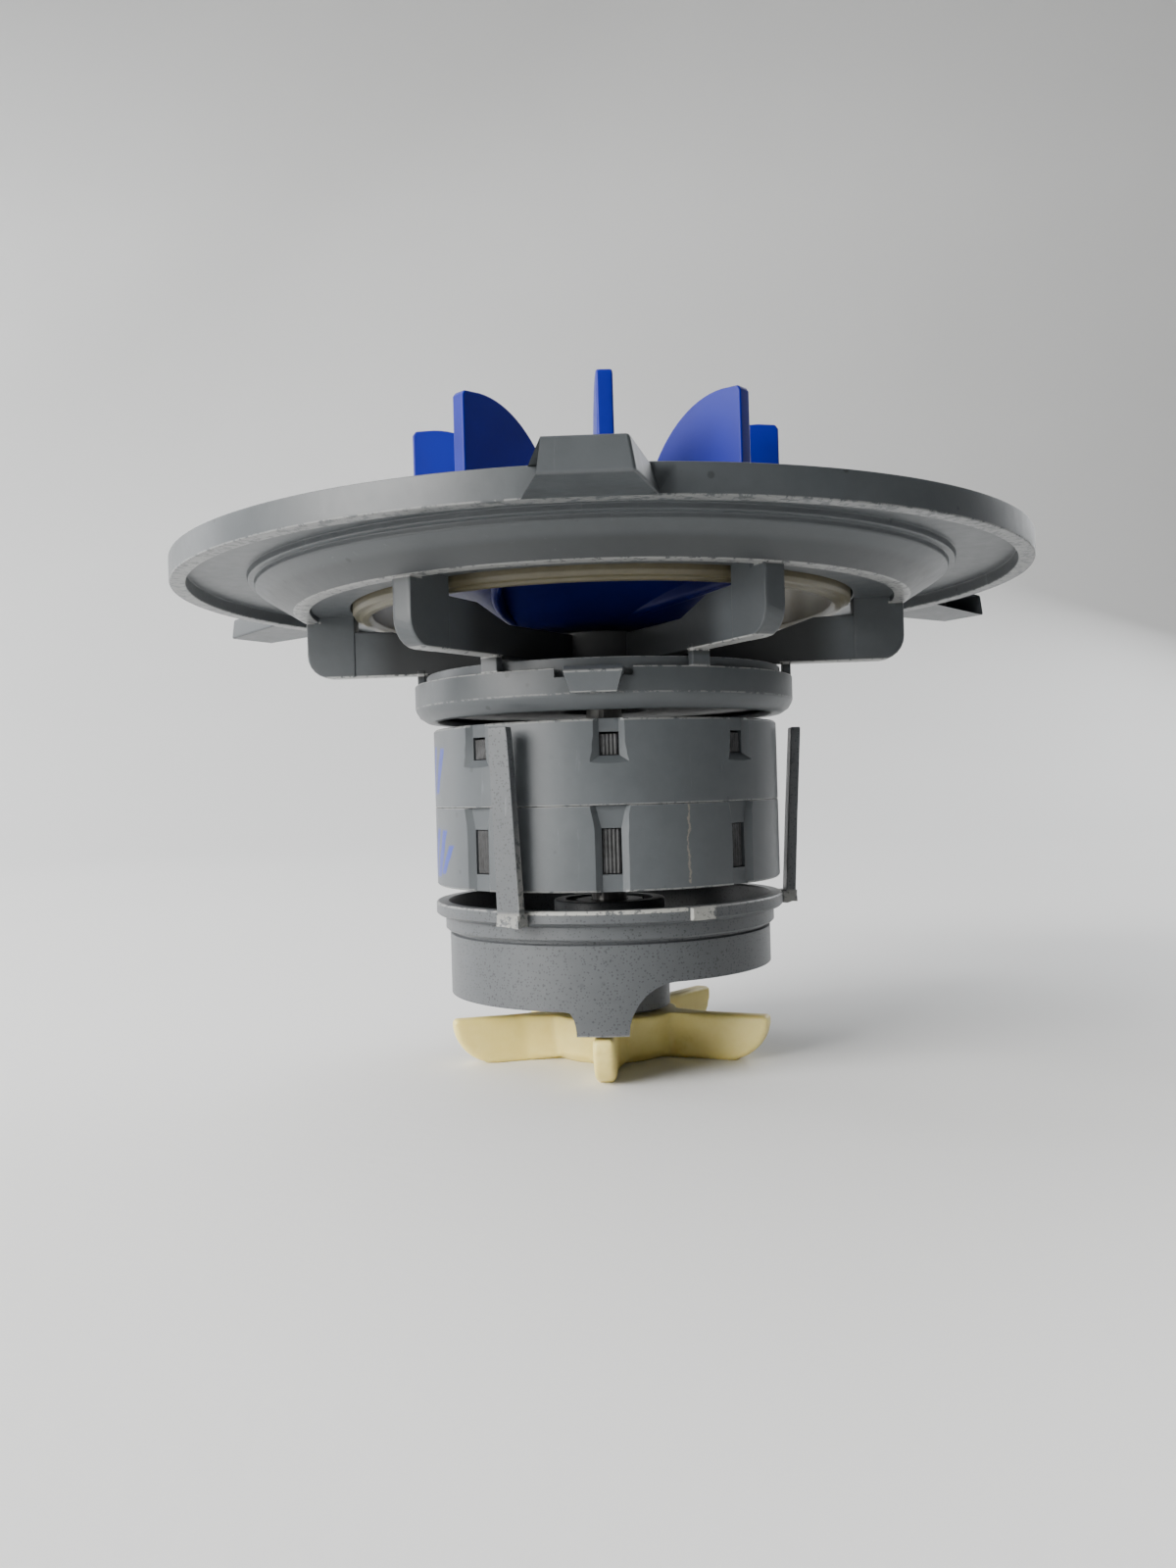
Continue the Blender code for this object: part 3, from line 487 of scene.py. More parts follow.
def growRings(radius, height, rings):
    # extrudes the selected loop to one radius and height after another
    for nextRadius, nextHeight in rings:
        push(0, 0, nextHeight - height)
        size = nextRadius / radius
        scaled(size, size, 1, nextHeight)
        radius, height = nextRadius, nextHeight


def closeRings(piece, sides, capped=False):
    # bridges the last loop back to the first, or caps both
    leave()
    count = len(piece.data.vertices)
    first, last = {*range(sides)}, {*range(count - sides, count)}
    for chosen in ((first, last) if capped else (first | last,)):
        pick(piece, lambda place, index: index in chosen)
        edit()
        bpy.ops.mesh.select_mode(type="EDGE")
        if capped:
            bpy.ops.mesh.edge_face_add()
        else:
            bpy.ops.mesh.bridge_edge_loops()
        leave()
    settle(piece)
    return piece


def settle(piece, doubles=0.002):
    edit()
    bpy.ops.mesh.select_all(action="SELECT")
    bpy.ops.mesh.remove_doubles(threshold=doubles * mm)
    bpy.ops.mesh.normals_make_consistent(inside=False)
    leave()


def turned(name, profile, sides, capped=False):
    radius, height = profile[0]
    piece = startRing(name, radius, height, sides)
    growRings(radius, height, profile[1:])
    return closeRings(piece, sides, capped)


def plate(name, outline, thickness):
    # an upright plate in the plane of the shaft, from its (radius, height) outline
    piece = startLine(name, [(-thickness / 2, -r, z) for r, z in outline])
    fill()
    push(thickness, 0, 0)
    leave()
    settle(piece)
    return piece


def loft(name, near, far):
    # a solid between two outlines that have the same number of points
    piece = startLine(name, near)
    leave()
    other = startLine(name + "End", far)
    leave()
    joined(piece, [other])
    edit()
    bpy.ops.mesh.select_mode(type="EDGE")
    bpy.ops.mesh.select_all(action="SELECT")
    bpy.ops.mesh.bridge_edge_loops()
    leave()
    count = len(near)
    for first in (0, count):
        pick(piece, lambda place, index: first <= index < first + count)
        edit()
        bpy.ops.mesh.edge_face_add()
        leave()
    settle(piece)
    return piece


def joined(piece, others):
    bpy.ops.object.select_all(action="DESELECT")
    for other in [piece, *others]:
        other.select_set(True)
    bpy.context.view_layer.objects.active = piece
    bpy.ops.object.join()
    return piece


def alone(piece):
    bpy.ops.object.select_all(action="DESELECT")
    piece.select_set(True)
    bpy.context.view_layer.objects.active = piece


def spun(piece, degrees):
    # turns a piece round the shaft, positive towards the right seen from the front
    alone(piece)
    piece.rotation_euler = (0, 0, math.radians(degrees))
    bpy.ops.object.transform_apply(rotation=True)
    return piece


def repeated(piece, count, first):
    # copies round the shaft, joined into one
    copies = []
    for step in range(1, count):
        alone(piece)
        bpy.ops.object.duplicate()
        copies.append(spun(bpy.context.object, first + 360.0 * step / count))
    spun(piece, first)
    return joined(piece, copies)


def modify(piece, kind, **settings):
    alone(piece)
    modifier = piece.modifiers.new(kind.lower(), kind)
    for name, value in settings.items():
        setattr(modifier, name, value)
    bpy.ops.object.modifier_apply(modifier=modifier.name)
    return piece


def rounded(piece, width, segments=2, angle=28):
    return modify(piece, "BEVEL", width=width * mm, segments=segments, limit_method="ANGLE",
                  angle_limit=math.radians(angle), use_clamp_overlap=True)


def fused(piece, tool, operation="UNION"):
    modify(piece, "BOOLEAN", object=tool, operation=operation, solver="EXACT")
    bpy.data.objects.remove(tool)
    return piece


def finished(piece, body, slot, material, *replaced, angle=32):
    alone(piece)
    piece.data.materials.clear()
    piece.data.materials.append(material)
    bpy.ops.object.shade_smooth_by_angle(angle=math.radians(angle))
    modify(piece, "WEIGHTED_NORMAL", keep_sharp=True)
    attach(piece, body)
    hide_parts(*replaced)
    print("piece:", piece.name, len(piece.data.polygons), "faces")
    return piece


def polar(radius, degrees, height):
    # a point by its azimuth from the front
    angle = math.radians(degrees)
    return (radius * math.sin(angle), -radius * math.cos(angle), height)


# pump housing

housing = {
    "sides": 180,
    "rim": 70.0,
    "lipWall": 2.5,
    "lip": 78.5,              # heights of the lip, plate and collar
    "plate": 82.5,
    "ceiling": 80.6,
    "collar": 51.1,
    "collarFoot": 74.9,
    "ledge": 75.8,
    "seat": 42.1,
    "seatTop": 77.8,
    "step": 57.2,
    "ribs": 6,
    "ribFirst": 30.0,
    "ribFoot": 65.3,
    "ribThin": 2.9,
    "ribThick": 3.35,
    "ribCorner": 4.0,
    "ribBrow": (35.8, 72.9),
    "ribKnee": (28.2, 70.3),
    "tube": 11.4,
    "tubeBore": 9.7,
    "tubeLow": 64.9,
    "tubeHigh": 70.7,
    "ringTop": 62.9,
    "ringFoot": 56.8,
    "ring": 31.9,
    "notches": 3,
    "notchWidth": 11.6,
    "legWidth": 3.1,
    "leg": (30.4, 31.75, 61.9, 66.2),         # inner and outer radius, low and high
    "lugs": 3,
    "lugFirst": 1.7,
    "lugReach": 14.7,
    "lugRoot": (8.2, 78.6, 7.2, 82.45),       # half width and height, below and above
    "lugTip": (5.2, 77.5, 4.55, 81.5),
}


def ribOutline(start):
    # start is where the outline's inner end is: the tube for the whole rib, the seat for its thick part
    h = housing
    foot, outside, corner, ledge = h["ribFoot"], h["collar"] - 0.3, h["ribCorner"], h["ledge"] + 0.8
    outline = []
    for step in range(7):
        angle = math.radians(-90 + 15 * step)
        across, along = corner * math.cos(angle), corner * math.sin(angle)
        outline.append((outside - corner + across, foot + corner + along))
    shoulder, inside = h["seat"] + 0.3, h["tube"] - 0.8
    outline += [(outside, ledge), (shoulder, ledge)]
    if start == "seat":
        return outline + [(shoulder, foot)]
    brow, knee = h["ribBrow"], h["ribKnee"]
    return outline + [(shoulder, brow[1] + 0.2), brow, knee, (inside, knee[1]), (inside, foot)]


def makeFlange():
    h = housing
    lipInner, groove, inside = h["rim"] - h["lipWall"], h["step"] + 1.1, h["collar"] - 2.5
    profile = [
        (h["rim"], h["lip"]), (h["rim"], h["plate"]), (h["step"] + 1.3, h["plate"]),
        (h["collar"] - 0.6, h["seatTop"]), (h["seat"], h["seatTop"]), (h["seat"], h["ledge"]),
        (inside, h["ledge"]), (inside, h["collarFoot"]), (h["collar"], h["collarFoot"]),
        (h["step"], h["lip"] + 0.2), (h["step"], h["lip"] + 1.1), (groove, h["lip"] + 1.1),
        (groove, h["ceiling"]), (lipInner, h["ceiling"]), (lipInner, h["lip"]),
    ]
    return rounded(turned("housing", profile, h["sides"]), 0.28)


def makeRibs():
    h = housing
    rib = plate("rib", ribOutline("tube"), h["ribThin"])
    rounded(rib, 0.3)
    fused(rib, rounded(plate("ribEdge", ribOutline("seat"), h["ribThick"]), 0.35))
    return repeated(rib, h["ribs"], h["ribFirst"])


def makeCageRing():
    # the ring with its three notches, and the legs that carry it
    h = housing
    outside, low, high = h["ring"], h["ringFoot"], h["ringTop"]
    foot, inside = outside - 2.0, outside - 1.7
    profile = [
        (foot, low), (outside - 0.75, low + 0.8), (outside - 0.2, low + 1.7), (outside, low + 2.3),
        (outside, high), (inside, high), (inside, low + 1.6), (foot - 1.7, low + 1.0), (foot - 1.7, low),
    ]
    ring = rounded(turned("ring", profile, 144), 0.22)
    outline = [(29.0, high - 1.4), (33.5, high - 1.4), (33.5, high + 1.0), (29.0, high + 1.0)]
    notch = plate("notch", outline, h["notchWidth"])
    fused(ring, repeated(notch, h["notches"], 0.0), "DIFFERENCE")
    near, far, low, high = h["leg"]
    leg = plate("leg", [(near, low), (far, low), (far, high), (near, high)], h["legWidth"])
    return fused(ring, repeated(rounded(leg, 0.2), h["ribs"], h["ribFirst"]))


def makeLugs():
    h = housing
    root, tip = h["rim"] - 1.5, h["rim"] + h["lugReach"]
    outlines = []
    for side in (0, 2):
        rootHalf, rootHeight = h["lugRoot"][side:side + 2]
        tipHalf, tipHeight = h["lugTip"][side:side + 2]
        outlines.append([(-rootHalf, -root, rootHeight), (rootHalf, -root, rootHeight),
                         (tipHalf, -tip, tipHeight), (-tipHalf, -tip, tipHeight)])
    return repeated(rounded(loft("lug", *outlines), 0.45, 3), h["lugs"], h["lugFirst"])


def makeHousing():
    h = housing
    body = makeFlange()
    fused(body, makeRibs())
    fused(body, makeCageRing())
    profile = [(h["tubeBore"], h["tubeLow"]), (h["tube"], h["tubeLow"]),
               (h["tube"], h["tubeHigh"]), (h["tubeBore"], h["tubeHigh"])]
    fused(body, rounded(turned("tube", profile, 72), 0.3))
    return fused(body, makeLugs())


housingWearAndPaintedLight = [
    # the first two bands are painted shade: the throat between the ribs, and the cone under the flange
    wearAndPaintedLightBand((64.6, 79.0), (-9.0, 38.0), 0.72, -1.0, soft=0.5, fade=3.5, colour=greyCare["shade"]),
    wearAndPaintedLightBand((74.4, 77.3), (49.5, 58.0), 0.42, -1.0, soft=0.5, colour=greyCare["shade"]),
    # painted highlight along the lip's lower edge, partly a whitened burr
    wearAndPaintedLightBand((78.35, 78.75), (67.0, 70.3), 0.38, 0.40),
    wearAndPaintedLightBand((74.7, 75.05), (48.3, 51.3), 0.6, 0.36),
    wearAndPaintedLightBand((65.1, 65.55), (30.0, 51.2), 0.75, 0.34),
    wearAndPaintedLightBand((62.70, 63.05), (30.0, 32.2), 0.6, 0.38),
    # painted highlight line on the ring's chamfer
    wearAndPaintedLightBand((58.95, 59.2), (31.0, 32.2), 0.25, 0.42),
]
# painted shade: the housing's grey is a darker copy of the moulded grey, for its shaded underside and throat
shadedGreyHousing = greyFinish("moulded grey", shade(greyCare["colour"], 0.74)[:3], housingWearAndPaintedLight)
finished(makeHousing(), "pump_housing", "moulded_grey", shadedGreyHousing, "pump_housing")


# wear ring

wearRing = {
    "sides": 160,
    "bore": 38.5,
    "collar": 40.7,
    "radius": 41.8,
    "flange": 44.8,
    "lip": 73.9,              # heights of the lip, seat and collar
    "seat": 78.1,
    "top": 82.2,
    "thickness": 1.4,
}


def makeWearRing():
    w = wearRing
    bore, radius, lip, top = w["bore"], w["radius"], w["lip"], w["seat"] + w["thickness"]
    profile = [
        (bore, lip + 0.8), (bore + 0.7, lip), (radius - 1.5, lip), (radius - 1.1, lip + 0.45),
        (radius - 0.35, lip + 0.55), (radius, lip + 1.2), (radius, w["seat"]), (w["flange"], w["seat"]),
        (w["flange"], top), (w["collar"], top), (w["collar"], w["top"]), (bore, w["top"]),
    ]
    return rounded(turned("wearRing", profile, w["sides"]), 0.18)


cream = creamFinish("cream plastic", (0.88, 0.75, 0.29, 1), (0.80, 0.66, 0.21, 1))
# painted shade: the beige wear ring is darkened to near brown, for the shade it sits in
shadedCream = creamFinish("cream plastic with painted shade", (0.10, 0.090, 0.055, 1), (0.07, 0.060, 0.032, 1))
finished(makeWearRing(), "pump_housing", "cream_plastic", shadedCream, "wear_ring")


# bearing carrier with its snap hooks

carrier = {
    "sides": 128,
    "rim": 29.9,
    "top": 64.5,
    "web": 59.8,
    "boss": 9.4,
    "bore": 7.5,
    "crown": 70.7,
    "hooks": 3,
    "hookFace": 32.2,
    "hookLow": 59.1,
    "hookArm": (61.8, 63.0),  # low and high of the arm through the notch
    "hookHalf": 4.35,
    "hookTipHalf": 3.4,
}


def makeCarrier():
    c = carrier
    rim, top, web, boss, bore = c["rim"], c["top"], c["web"], c["boss"], c["bore"]
    profile = [
        (bore, web - 1.6), (27.9, web - 1.6), (rim, web - 0.9), (rim, top), (rim - 1.5, top),
        (rim - 1.5, web + 2.0), (boss, web + 2.0), (boss, c["crown"]), (bore, c["crown"]),
    ]
    dish = rounded(turned("carrier", profile, c["sides"]), 0.22)

    face, foot, half, tip = c["hookFace"], c["hookLow"], c["hookHalf"], c["hookTipHalf"]
    low, high = c["hookArm"]
    # radius, height and half width round a hook's side
    side = [
        (29.0, high, half), (29.0, low, half), (face, low, half), (face, foot, tip),
        (face + 0.75, foot, tip), (face + 1.55, high - 0.85, half), (face + 0.35, high, half),
    ]
    left, right = [[(x * sign, -r, z) for r, z, x in side] for sign in (-1, 1)]
    hook = rounded(loft("hook", left, right), 0.16)
    return fused(dish, repeated(hook, c["hooks"], 0.0))


carrierWearAndShade = [
    wearAndPaintedLightBand((58.9, 59.25), (31.9, 34.2), 0.6, 0.33),
    wearAndPaintedLightBand((61.95, 62.35), (33.2, 34.2), 0.5, 0.36),
    # painted shade: near-black under the carrier, in the gap above the rotor
    wearAndPaintedLightBand((57.5, 59.1), (-1.0, 29.2), 0.9, -1.0, colour=greyCare["shade"]),
    wearAndPaintedLightBand((64.35, 64.6), (28.0, 30.2), 0.4, 0.40),
]
greyCarrier = greyFinish("carrier grey", shade(greyCare["colour"], 0.95)[:3], carrierWearAndShade)
finished(makeCarrier(), "pump_housing", "moulded_grey", greyCarrier, "bearing_carrier")


# rotor: two shells with windows, and the ridged magnets behind them

rotor = {
    "sides": 160,
    "radius": 29.0,
    "wall": 2.2,
    "low": 29.7,
    "seam": 42.6,
    "high": 55.5,
    "poles": 8,
    "first": 3.7,
    "window": 1.475,          # half width
    "dent": 0.95,             # depth of the recess round a window
    "magnetHalf": 21.8,       # degrees
    "ridges": 44,
    "ridge": 0.2,
    "padRadius": 27.75,
    "padHalf": 1.3,
    "padRidges": 9,
    "padRidge": 0.16,
}


def recess(name, rows):
    # rows are half width at the surface and in the depth, then height at the surface and in the depth
    near, far, flare = rotor["radius"] - rotor["dent"], rotor["radius"] + 0.9, 0.95
    inner = [(-row[1], -near, row[3]) for row in rows] + [(row[1], -near, row[3]) for row in reversed(rows)]
    outer = []
    for wide, narrow, height, depthHeight in rows:
        half = wide + (wide - narrow) * flare
        outer.append((-half, -far, height + (height - depthHeight) * flare))
    outer += [(-x, y, z) for x, y, z in reversed(outer)]
    return loft(name, inner, outer)


def makeShell(name, low):
    r = rotor
    wall, cap = r["radius"] - r["wall"], 1.6
    if low:
        seam, end, step, lip = r["seam"] - 0.03, r["low"], cap, 0.3
        windowLow, windowHigh = end + 2.6, r["seam"] - 3.4
        rows = [
            (2.65, 1.5, end - 1.0, end - 1.0), (2.65, 1.5, windowHigh - 1.2, windowHigh - 1.2),
            (2.8, 1.5, windowHigh + 0.9, windowHigh), (3.2, 2.35, r["seam"] + 0.6, r["seam"] + 0.3),
        ]
    else:
        seam, end, step, lip = r["seam"] + 0.03, r["high"], -cap, -0.3
        windowHigh = end - 2.0
        windowLow = windowHigh - 3.5
        rows = [
            (3.2, 1.55, windowLow - 1.2, windowLow), (2.75, 1.5, windowLow + 0.6, windowLow + 0.9),
            (2.45, 1.5, windowHigh - 0.6, windowHigh - 0.6), (2.4, 1.5, end + 1.0, end + 1.0),
        ]
    profile = [
        (wall, seam), (r["radius"], seam), (r["radius"], end + lip), (r["radius"] - 0.3, end),
        (wall - 4.6, end), (wall - 4.6, end + step), (wall, end + step),
    ]
    shell = rounded(turned(name, profile, r["sides"]), 0.12)
    fused(shell, repeated(recess(name + "Recess", rows), r["poles"], r["first"]), "DIFFERENCE")
    inside, outside = wall - 0.8, r["radius"] + 1
    outline = [(inside, windowLow), (outside, windowLow), (outside, windowHigh), (inside, windowHigh)]
    window = plate(name + "Window", outline, 2 * r["window"])
    fused(shell, repeated(window, r["poles"], r["first"]), "DIFFERENCE")
    return rounded(shell, 0.09, 2, 24)


def raised(name, points, height):
    # a level outline, filled and drawn up
    piece = startLine(name, points)
    fill()
    push(0, 0, height)
    leave()
    settle(piece)
    return piece


def makeMagnet(number):
    r = rotor
    outer, bore = r["radius"] - r["wall"] - 0.3, r["radius"] - r["wall"] - 4.9
    low, high = r["low"] + 2.2, r["high"] - 2.2
    half, count, backSteps = r["magnetHalf"], r["ridges"], 12
    points = [polar(outer - r["ridge"] * (step % 2), -half + 2 * half * step / count, low)
              for step in range(count + 1)]
    points += [polar(bore, half - 2 * half * step / backSteps, low) for step in range(backSteps + 1)]
    pole = raised("magnetPole" + str(number), points, high - low)
    # the ridged pads that stand in the two windows
    half, teeth = r["padHalf"], r["padRidges"]
    for low, high in ((r["low"] + 2.75, r["seam"] - 3.55), (r["high"] - 5.35, r["high"] - 2.35)):
        points = [(-half + 2 * half * step / teeth, -(r["padRadius"] - r["padRidge"] * (step % 2)), low)
                  for step in range(teeth + 1)]
        fused(pole, raised("pad", points + [(half, -25.5, low), (-half, -25.5, low)], high - low))
    return spun(pole, r["first"] + 360.0 / r["poles"] * (number - 1))


markerCare = {
    # azimuth of the foot, lean, low and high of each stroke
    "strokes": (
        (-78.0, 7.0, 44.6, 52.6), (-70.0, 7.0, 45.0, 52.2),
        (-77.0, 8.0, 31.0, 39.2), (-70.0, 8.0, 31.4, 39.0), (-64.5, 8.0, 32.0, 36.6),
    ),
    "half": 0.030,            # radians
    "wobble": 0.05,
    "strength": 0.92,
}


def markerStrokes(place):
    # parallel slanting strokes of blue marker, on the left side only
    m = markerCare
    x, y, z = place.split()
    azimuth = x.sum("ARCTAN2", x, y * -1.0) + (place.noise(260.0, 2.0) - 0.5) * m["wobble"]
    mask = None
    for side, lean, low, high in m["strokes"]:
        middle = (z - low * mm) * math.radians(lean) / ((high - low) * mm) + math.radians(side)
        gap = azimuth - middle
        gap = gap.sum("ABSOLUTE", gap)
        stroke = (1 - gap.ease(m["half"], m["half"] + 0.008)) * z.band(low * mm, high * mm, 0.25 * mm)
        mask = stroke if mask is None else mask.sum("MAXIMUM", mask, stroke)
    return mask * place.noise(1500.0, 2.0).ease(0.15, 0.35) * m["strength"]


shellWear = [
    wearAndPaintedLightBand((42.48, 42.78), (28.6, 29.2), 0.5, 0.38),
    wearAndPaintedLightBand((30.6, 42.5), (28.6, 29.2), 0.7, 0.34, soft=0.3, turn=(27.0, 27.6), wander=0.07,
             colour=(0.24, 0.21, 0.17, 1)),
    wearAndPaintedLightBand((55.15, 55.6), (28.4, 29.2), 0.6, 0.36),
    wearAndPaintedLightBand((29.6, 30.0), (28.4, 29.2), 0.5, 0.38),
]
greyRotor = shade(greyCare["colour"], 0.95)[:3]
greyShell = greyFinish("rotor grey", greyRotor, shellWear, specks=0.6, marks=markerStrokes)
finished(makeShell("rotorShellLower", True), "rotor", "moulded_grey", greyShell, "rotor_shell_lower")
finished(makeShell("rotorShellUpper", False), "rotor", "moulded_grey", greyShell, "rotor_shell_upper")
for number in range(1, rotor["poles"] + 1):
    finished(makeMagnet(number), "rotor", "ferrite", ferrite, "magnet_" + str(number), angle=25)


# wash impeller

wash = {
    "sides": 128,
    "radius": 31.2,
    "shaft": 3.3,
    "disc": 81.4,
    "edge": 1.6,
    "bowl": 71.3,
    "foot": 13.0,             # where the bowl starts to rise
    # how far out and how far up the bowl has come
    "curve": ((0.10, 0.10), (0.16, 0.19), (0.22, 0.27), (0.28, 0.36), (0.36, 0.48), (0.45, 0.60),
              (0.54, 0.70), (0.64, 0.78), (0.74, 0.86), (0.84, 0.92), (0.92, 0.96)),
    "fins": 8,
    "first": 5.1,
    "finTop": 106.6,
    "finStart": 9.7,
    "finEnd": 3.55,           # width of the flat on a fin's tip
    "finThickness": 2.5,
    "swirls": 4,
    "swirlTurn": 55.0,
    "swirlHalf": 1.35,
    "swirlRise": 0.62,
}


def makeSwirl():
    # a vane that climbs round the bowl
    w = wash
    steps, start = 10, 9.0
    lower, upper = [], []
    for side in (-1, 1):
        for step in (range(steps + 1) if side < 0 else range(steps, -1, -1)):
            along = step / steps
            radius = start + (w["radius"] - 12.5) * along
            half = math.degrees(w["swirlHalf"] / radius) * side
            foot = w["bowl"] + 0.35 + (w["disc"] - w["bowl"]) * w["swirlRise"] * along ** 2
            lower.append(polar(radius, w["swirlTurn"] * along + half, foot))
            upper.append(polar(radius, w["swirlTurn"] * along + half, foot + 3.0))
    return rounded(loft("swirl", lower, upper), 0.8, 4, 40)


def makeFin():
    w = wash
    disc, steps = w["disc"], 24
    reach, height = w["radius"] - w["finEnd"], w["finTop"] - disc
    outline = []
    for step in range(steps + 1):
        turn = math.pi / 2 * step / steps
        outline.append((reach - (reach - w["finStart"]) * math.cos(turn), disc + height * math.sin(turn)))
    outline += [(w["radius"] - 0.5, w["finTop"] - 0.15), (w["radius"], w["finTop"] - 0.9),
                (w["radius"], disc - 0.5), (w["finStart"], disc - 0.5)]
    return rounded(plate("fin", outline, w["finThickness"]), 0.35, 3, 40)


def makeWashImpeller():
    w = wash
    disc, bowl, start, bore = w["disc"], w["bowl"], w["foot"], w["shaft"]
    rim = disc - w["edge"]
    profile = [(bore, bowl), (11.0, bowl), (start + 0.6, bowl + 0.25)]
    profile += [(start + (w["radius"] - start) * out, bowl + (rim - bowl) * up) for out, up in w["curve"]]
    profile += [(w["radius"], rim), (w["radius"], disc), (8.4, disc), (7.3, disc + 1.0),
                (7.0, disc + 5.0), (bore, disc + 5.0)]
    body = rounded(turned("washImpeller", profile, w["sides"]), 0.35, 3, 35)
    fused(body, repeated(makeSwirl(), w["swirls"], w["first"]))
    return fused(body, repeated(makeFin(), w["fins"], w["first"]))


blue = blueFinish("blue plastic", wash["disc"] - wash["edge"])
finished(makeWashImpeller(), "rotor", "blue_plastic", blue, "wash_impeller", angle=38)


# drain impeller: hub and blades flow into each other

drain = {
    "radius": 27.4,
    "hub": 10.7,
    "bore": 3.3,
    "height": 7.5,
    "blades": 5,
    "first": -0.8,
    "thickness": 3.3,
    "round": 7.0,
    "web": ((-3.6, -8.5), (3.6, -8.5), (1.5, -16.0), (-1.5, -16.0)),   # the broad foot of a blade, from above
    "grain": 0.34,
    "smoothing": 14,
}


def makeDrainImpeller():
    d = drain
    height, corner, steps = d["height"], d["round"], 12
    profile = [(d["hub"] - 1.6, 0.0), (d["hub"], 1.4), (d["hub"] + 0.4, height)]
    hub = turned("drainImpeller", profile, 96, capped=True)
    outline = [(d["hub"] - 3.0, height), (d["hub"] - 3.0, 0.0)]
    for step in range(steps + 1):
        angle = math.radians(-90 + 90 * step / steps)
        outline.append((d["radius"] - corner + corner * math.cos(angle), corner + corner * math.sin(angle)))
    outline.append((d["radius"], height))
    blade = rounded(plate("blade", outline, d["thickness"]), 0.5, 3, 40)
    web = loft("web", [(x, y, 0.5) for x, y in d["web"]], [(x, y, height) for x, y in d["web"]])
    joined(hub, [repeated(piece, d["blades"], d["first"]) for piece in (blade, web)])
    modify(hub, "REMESH", mode="VOXEL", voxel_size=d["grain"] * mm)
    modify(hub, "SMOOTH", factor=0.5, iterations=d["smoothing"])
    # level the foot again after the smoothing
    low = min(vertex.co.z for vertex in hub.data.vertices)
    pick(hub, lambda place, index: place.z < low + 0.25 * mm)
    edit()
    scaled(1, 1, 0, 0.02)
    leave()
    modify(hub, "DECIMATE", ratio=0.5)
    return fused(hub, turned("bore", [(d["bore"], 1.8), (d["bore"], 12.0)], 48, capped=True), "DIFFERENCE")


finished(makeDrainImpeller(), "rotor", "cream_plastic", cream, "drain_impeller", angle=60)


# lower housing: skirt, cap, clip arms and the stub of the broken one

cap = {
    "skirt": 27.1,
    "skirtWall": 1.9,
    "leg": 8.0,               # heights of the skirt's edge
    "skirtEdge": 11.7,
    "arch": 15.7,
    "legFrom": -9.1,          # azimuths of the leg and the outlet arch
    "legTo": 7.7,
    "archTo": 122.0,
    "archRound": 16.0,
    "legRound": 3.0,
    "groove": 22.3,
    "rimLow": 24.9,
    "rimTop": 27.0,
    "rim": 29.3,
    "bore": 7.5,
    "bossLow": 8.1,
    "bossTop": 26.4,
    "arms": 3,
    "armFirst": -26.0,
    # each step up an arm: how far up, aside and out, and how much narrower
    "armSteps": ((2.0, 0.0, 0.0, 0.99), (13.0, -0.05, 0.7, 0.93),
                 (13.0, -0.05, 0.8, 0.92), (1.5, -0.02, 0.08, 0.92)),
    "stub": 30.5,
    "tearing": 0.12,
    "white": (0.38, 0.38, 0.35, 1),
}


def skirtEdge(degrees):
    # height of the skirt's edge at an azimuth
    c = cap
    turn = (degrees - c["legFrom"]) % 360.0
    leg, arch = c["legTo"] - c["legFrom"], c["archTo"] - c["legFrom"]
    back = c["legRound"]
    if turn <= leg:
        return c["leg"]
    if turn < leg + c["archRound"]:
        along = 1 - (turn - leg) / c["archRound"]
        return c["leg"] + (c["arch"] - c["leg"]) * math.sqrt(1 - along ** 2)
    if turn < arch - back:
        return c["arch"]
    if turn < arch:
        return c["arch"] + (c["skirtEdge"] - c["arch"]) * (turn - arch + back) / back
    if turn < 360.0 - back:
        return c["skirtEdge"]
    along = (turn - 360.0 + back) / back
    return c["skirtEdge"] + (c["leg"] - c["skirtEdge"]) * (1 - math.sqrt(1 - along ** 2))


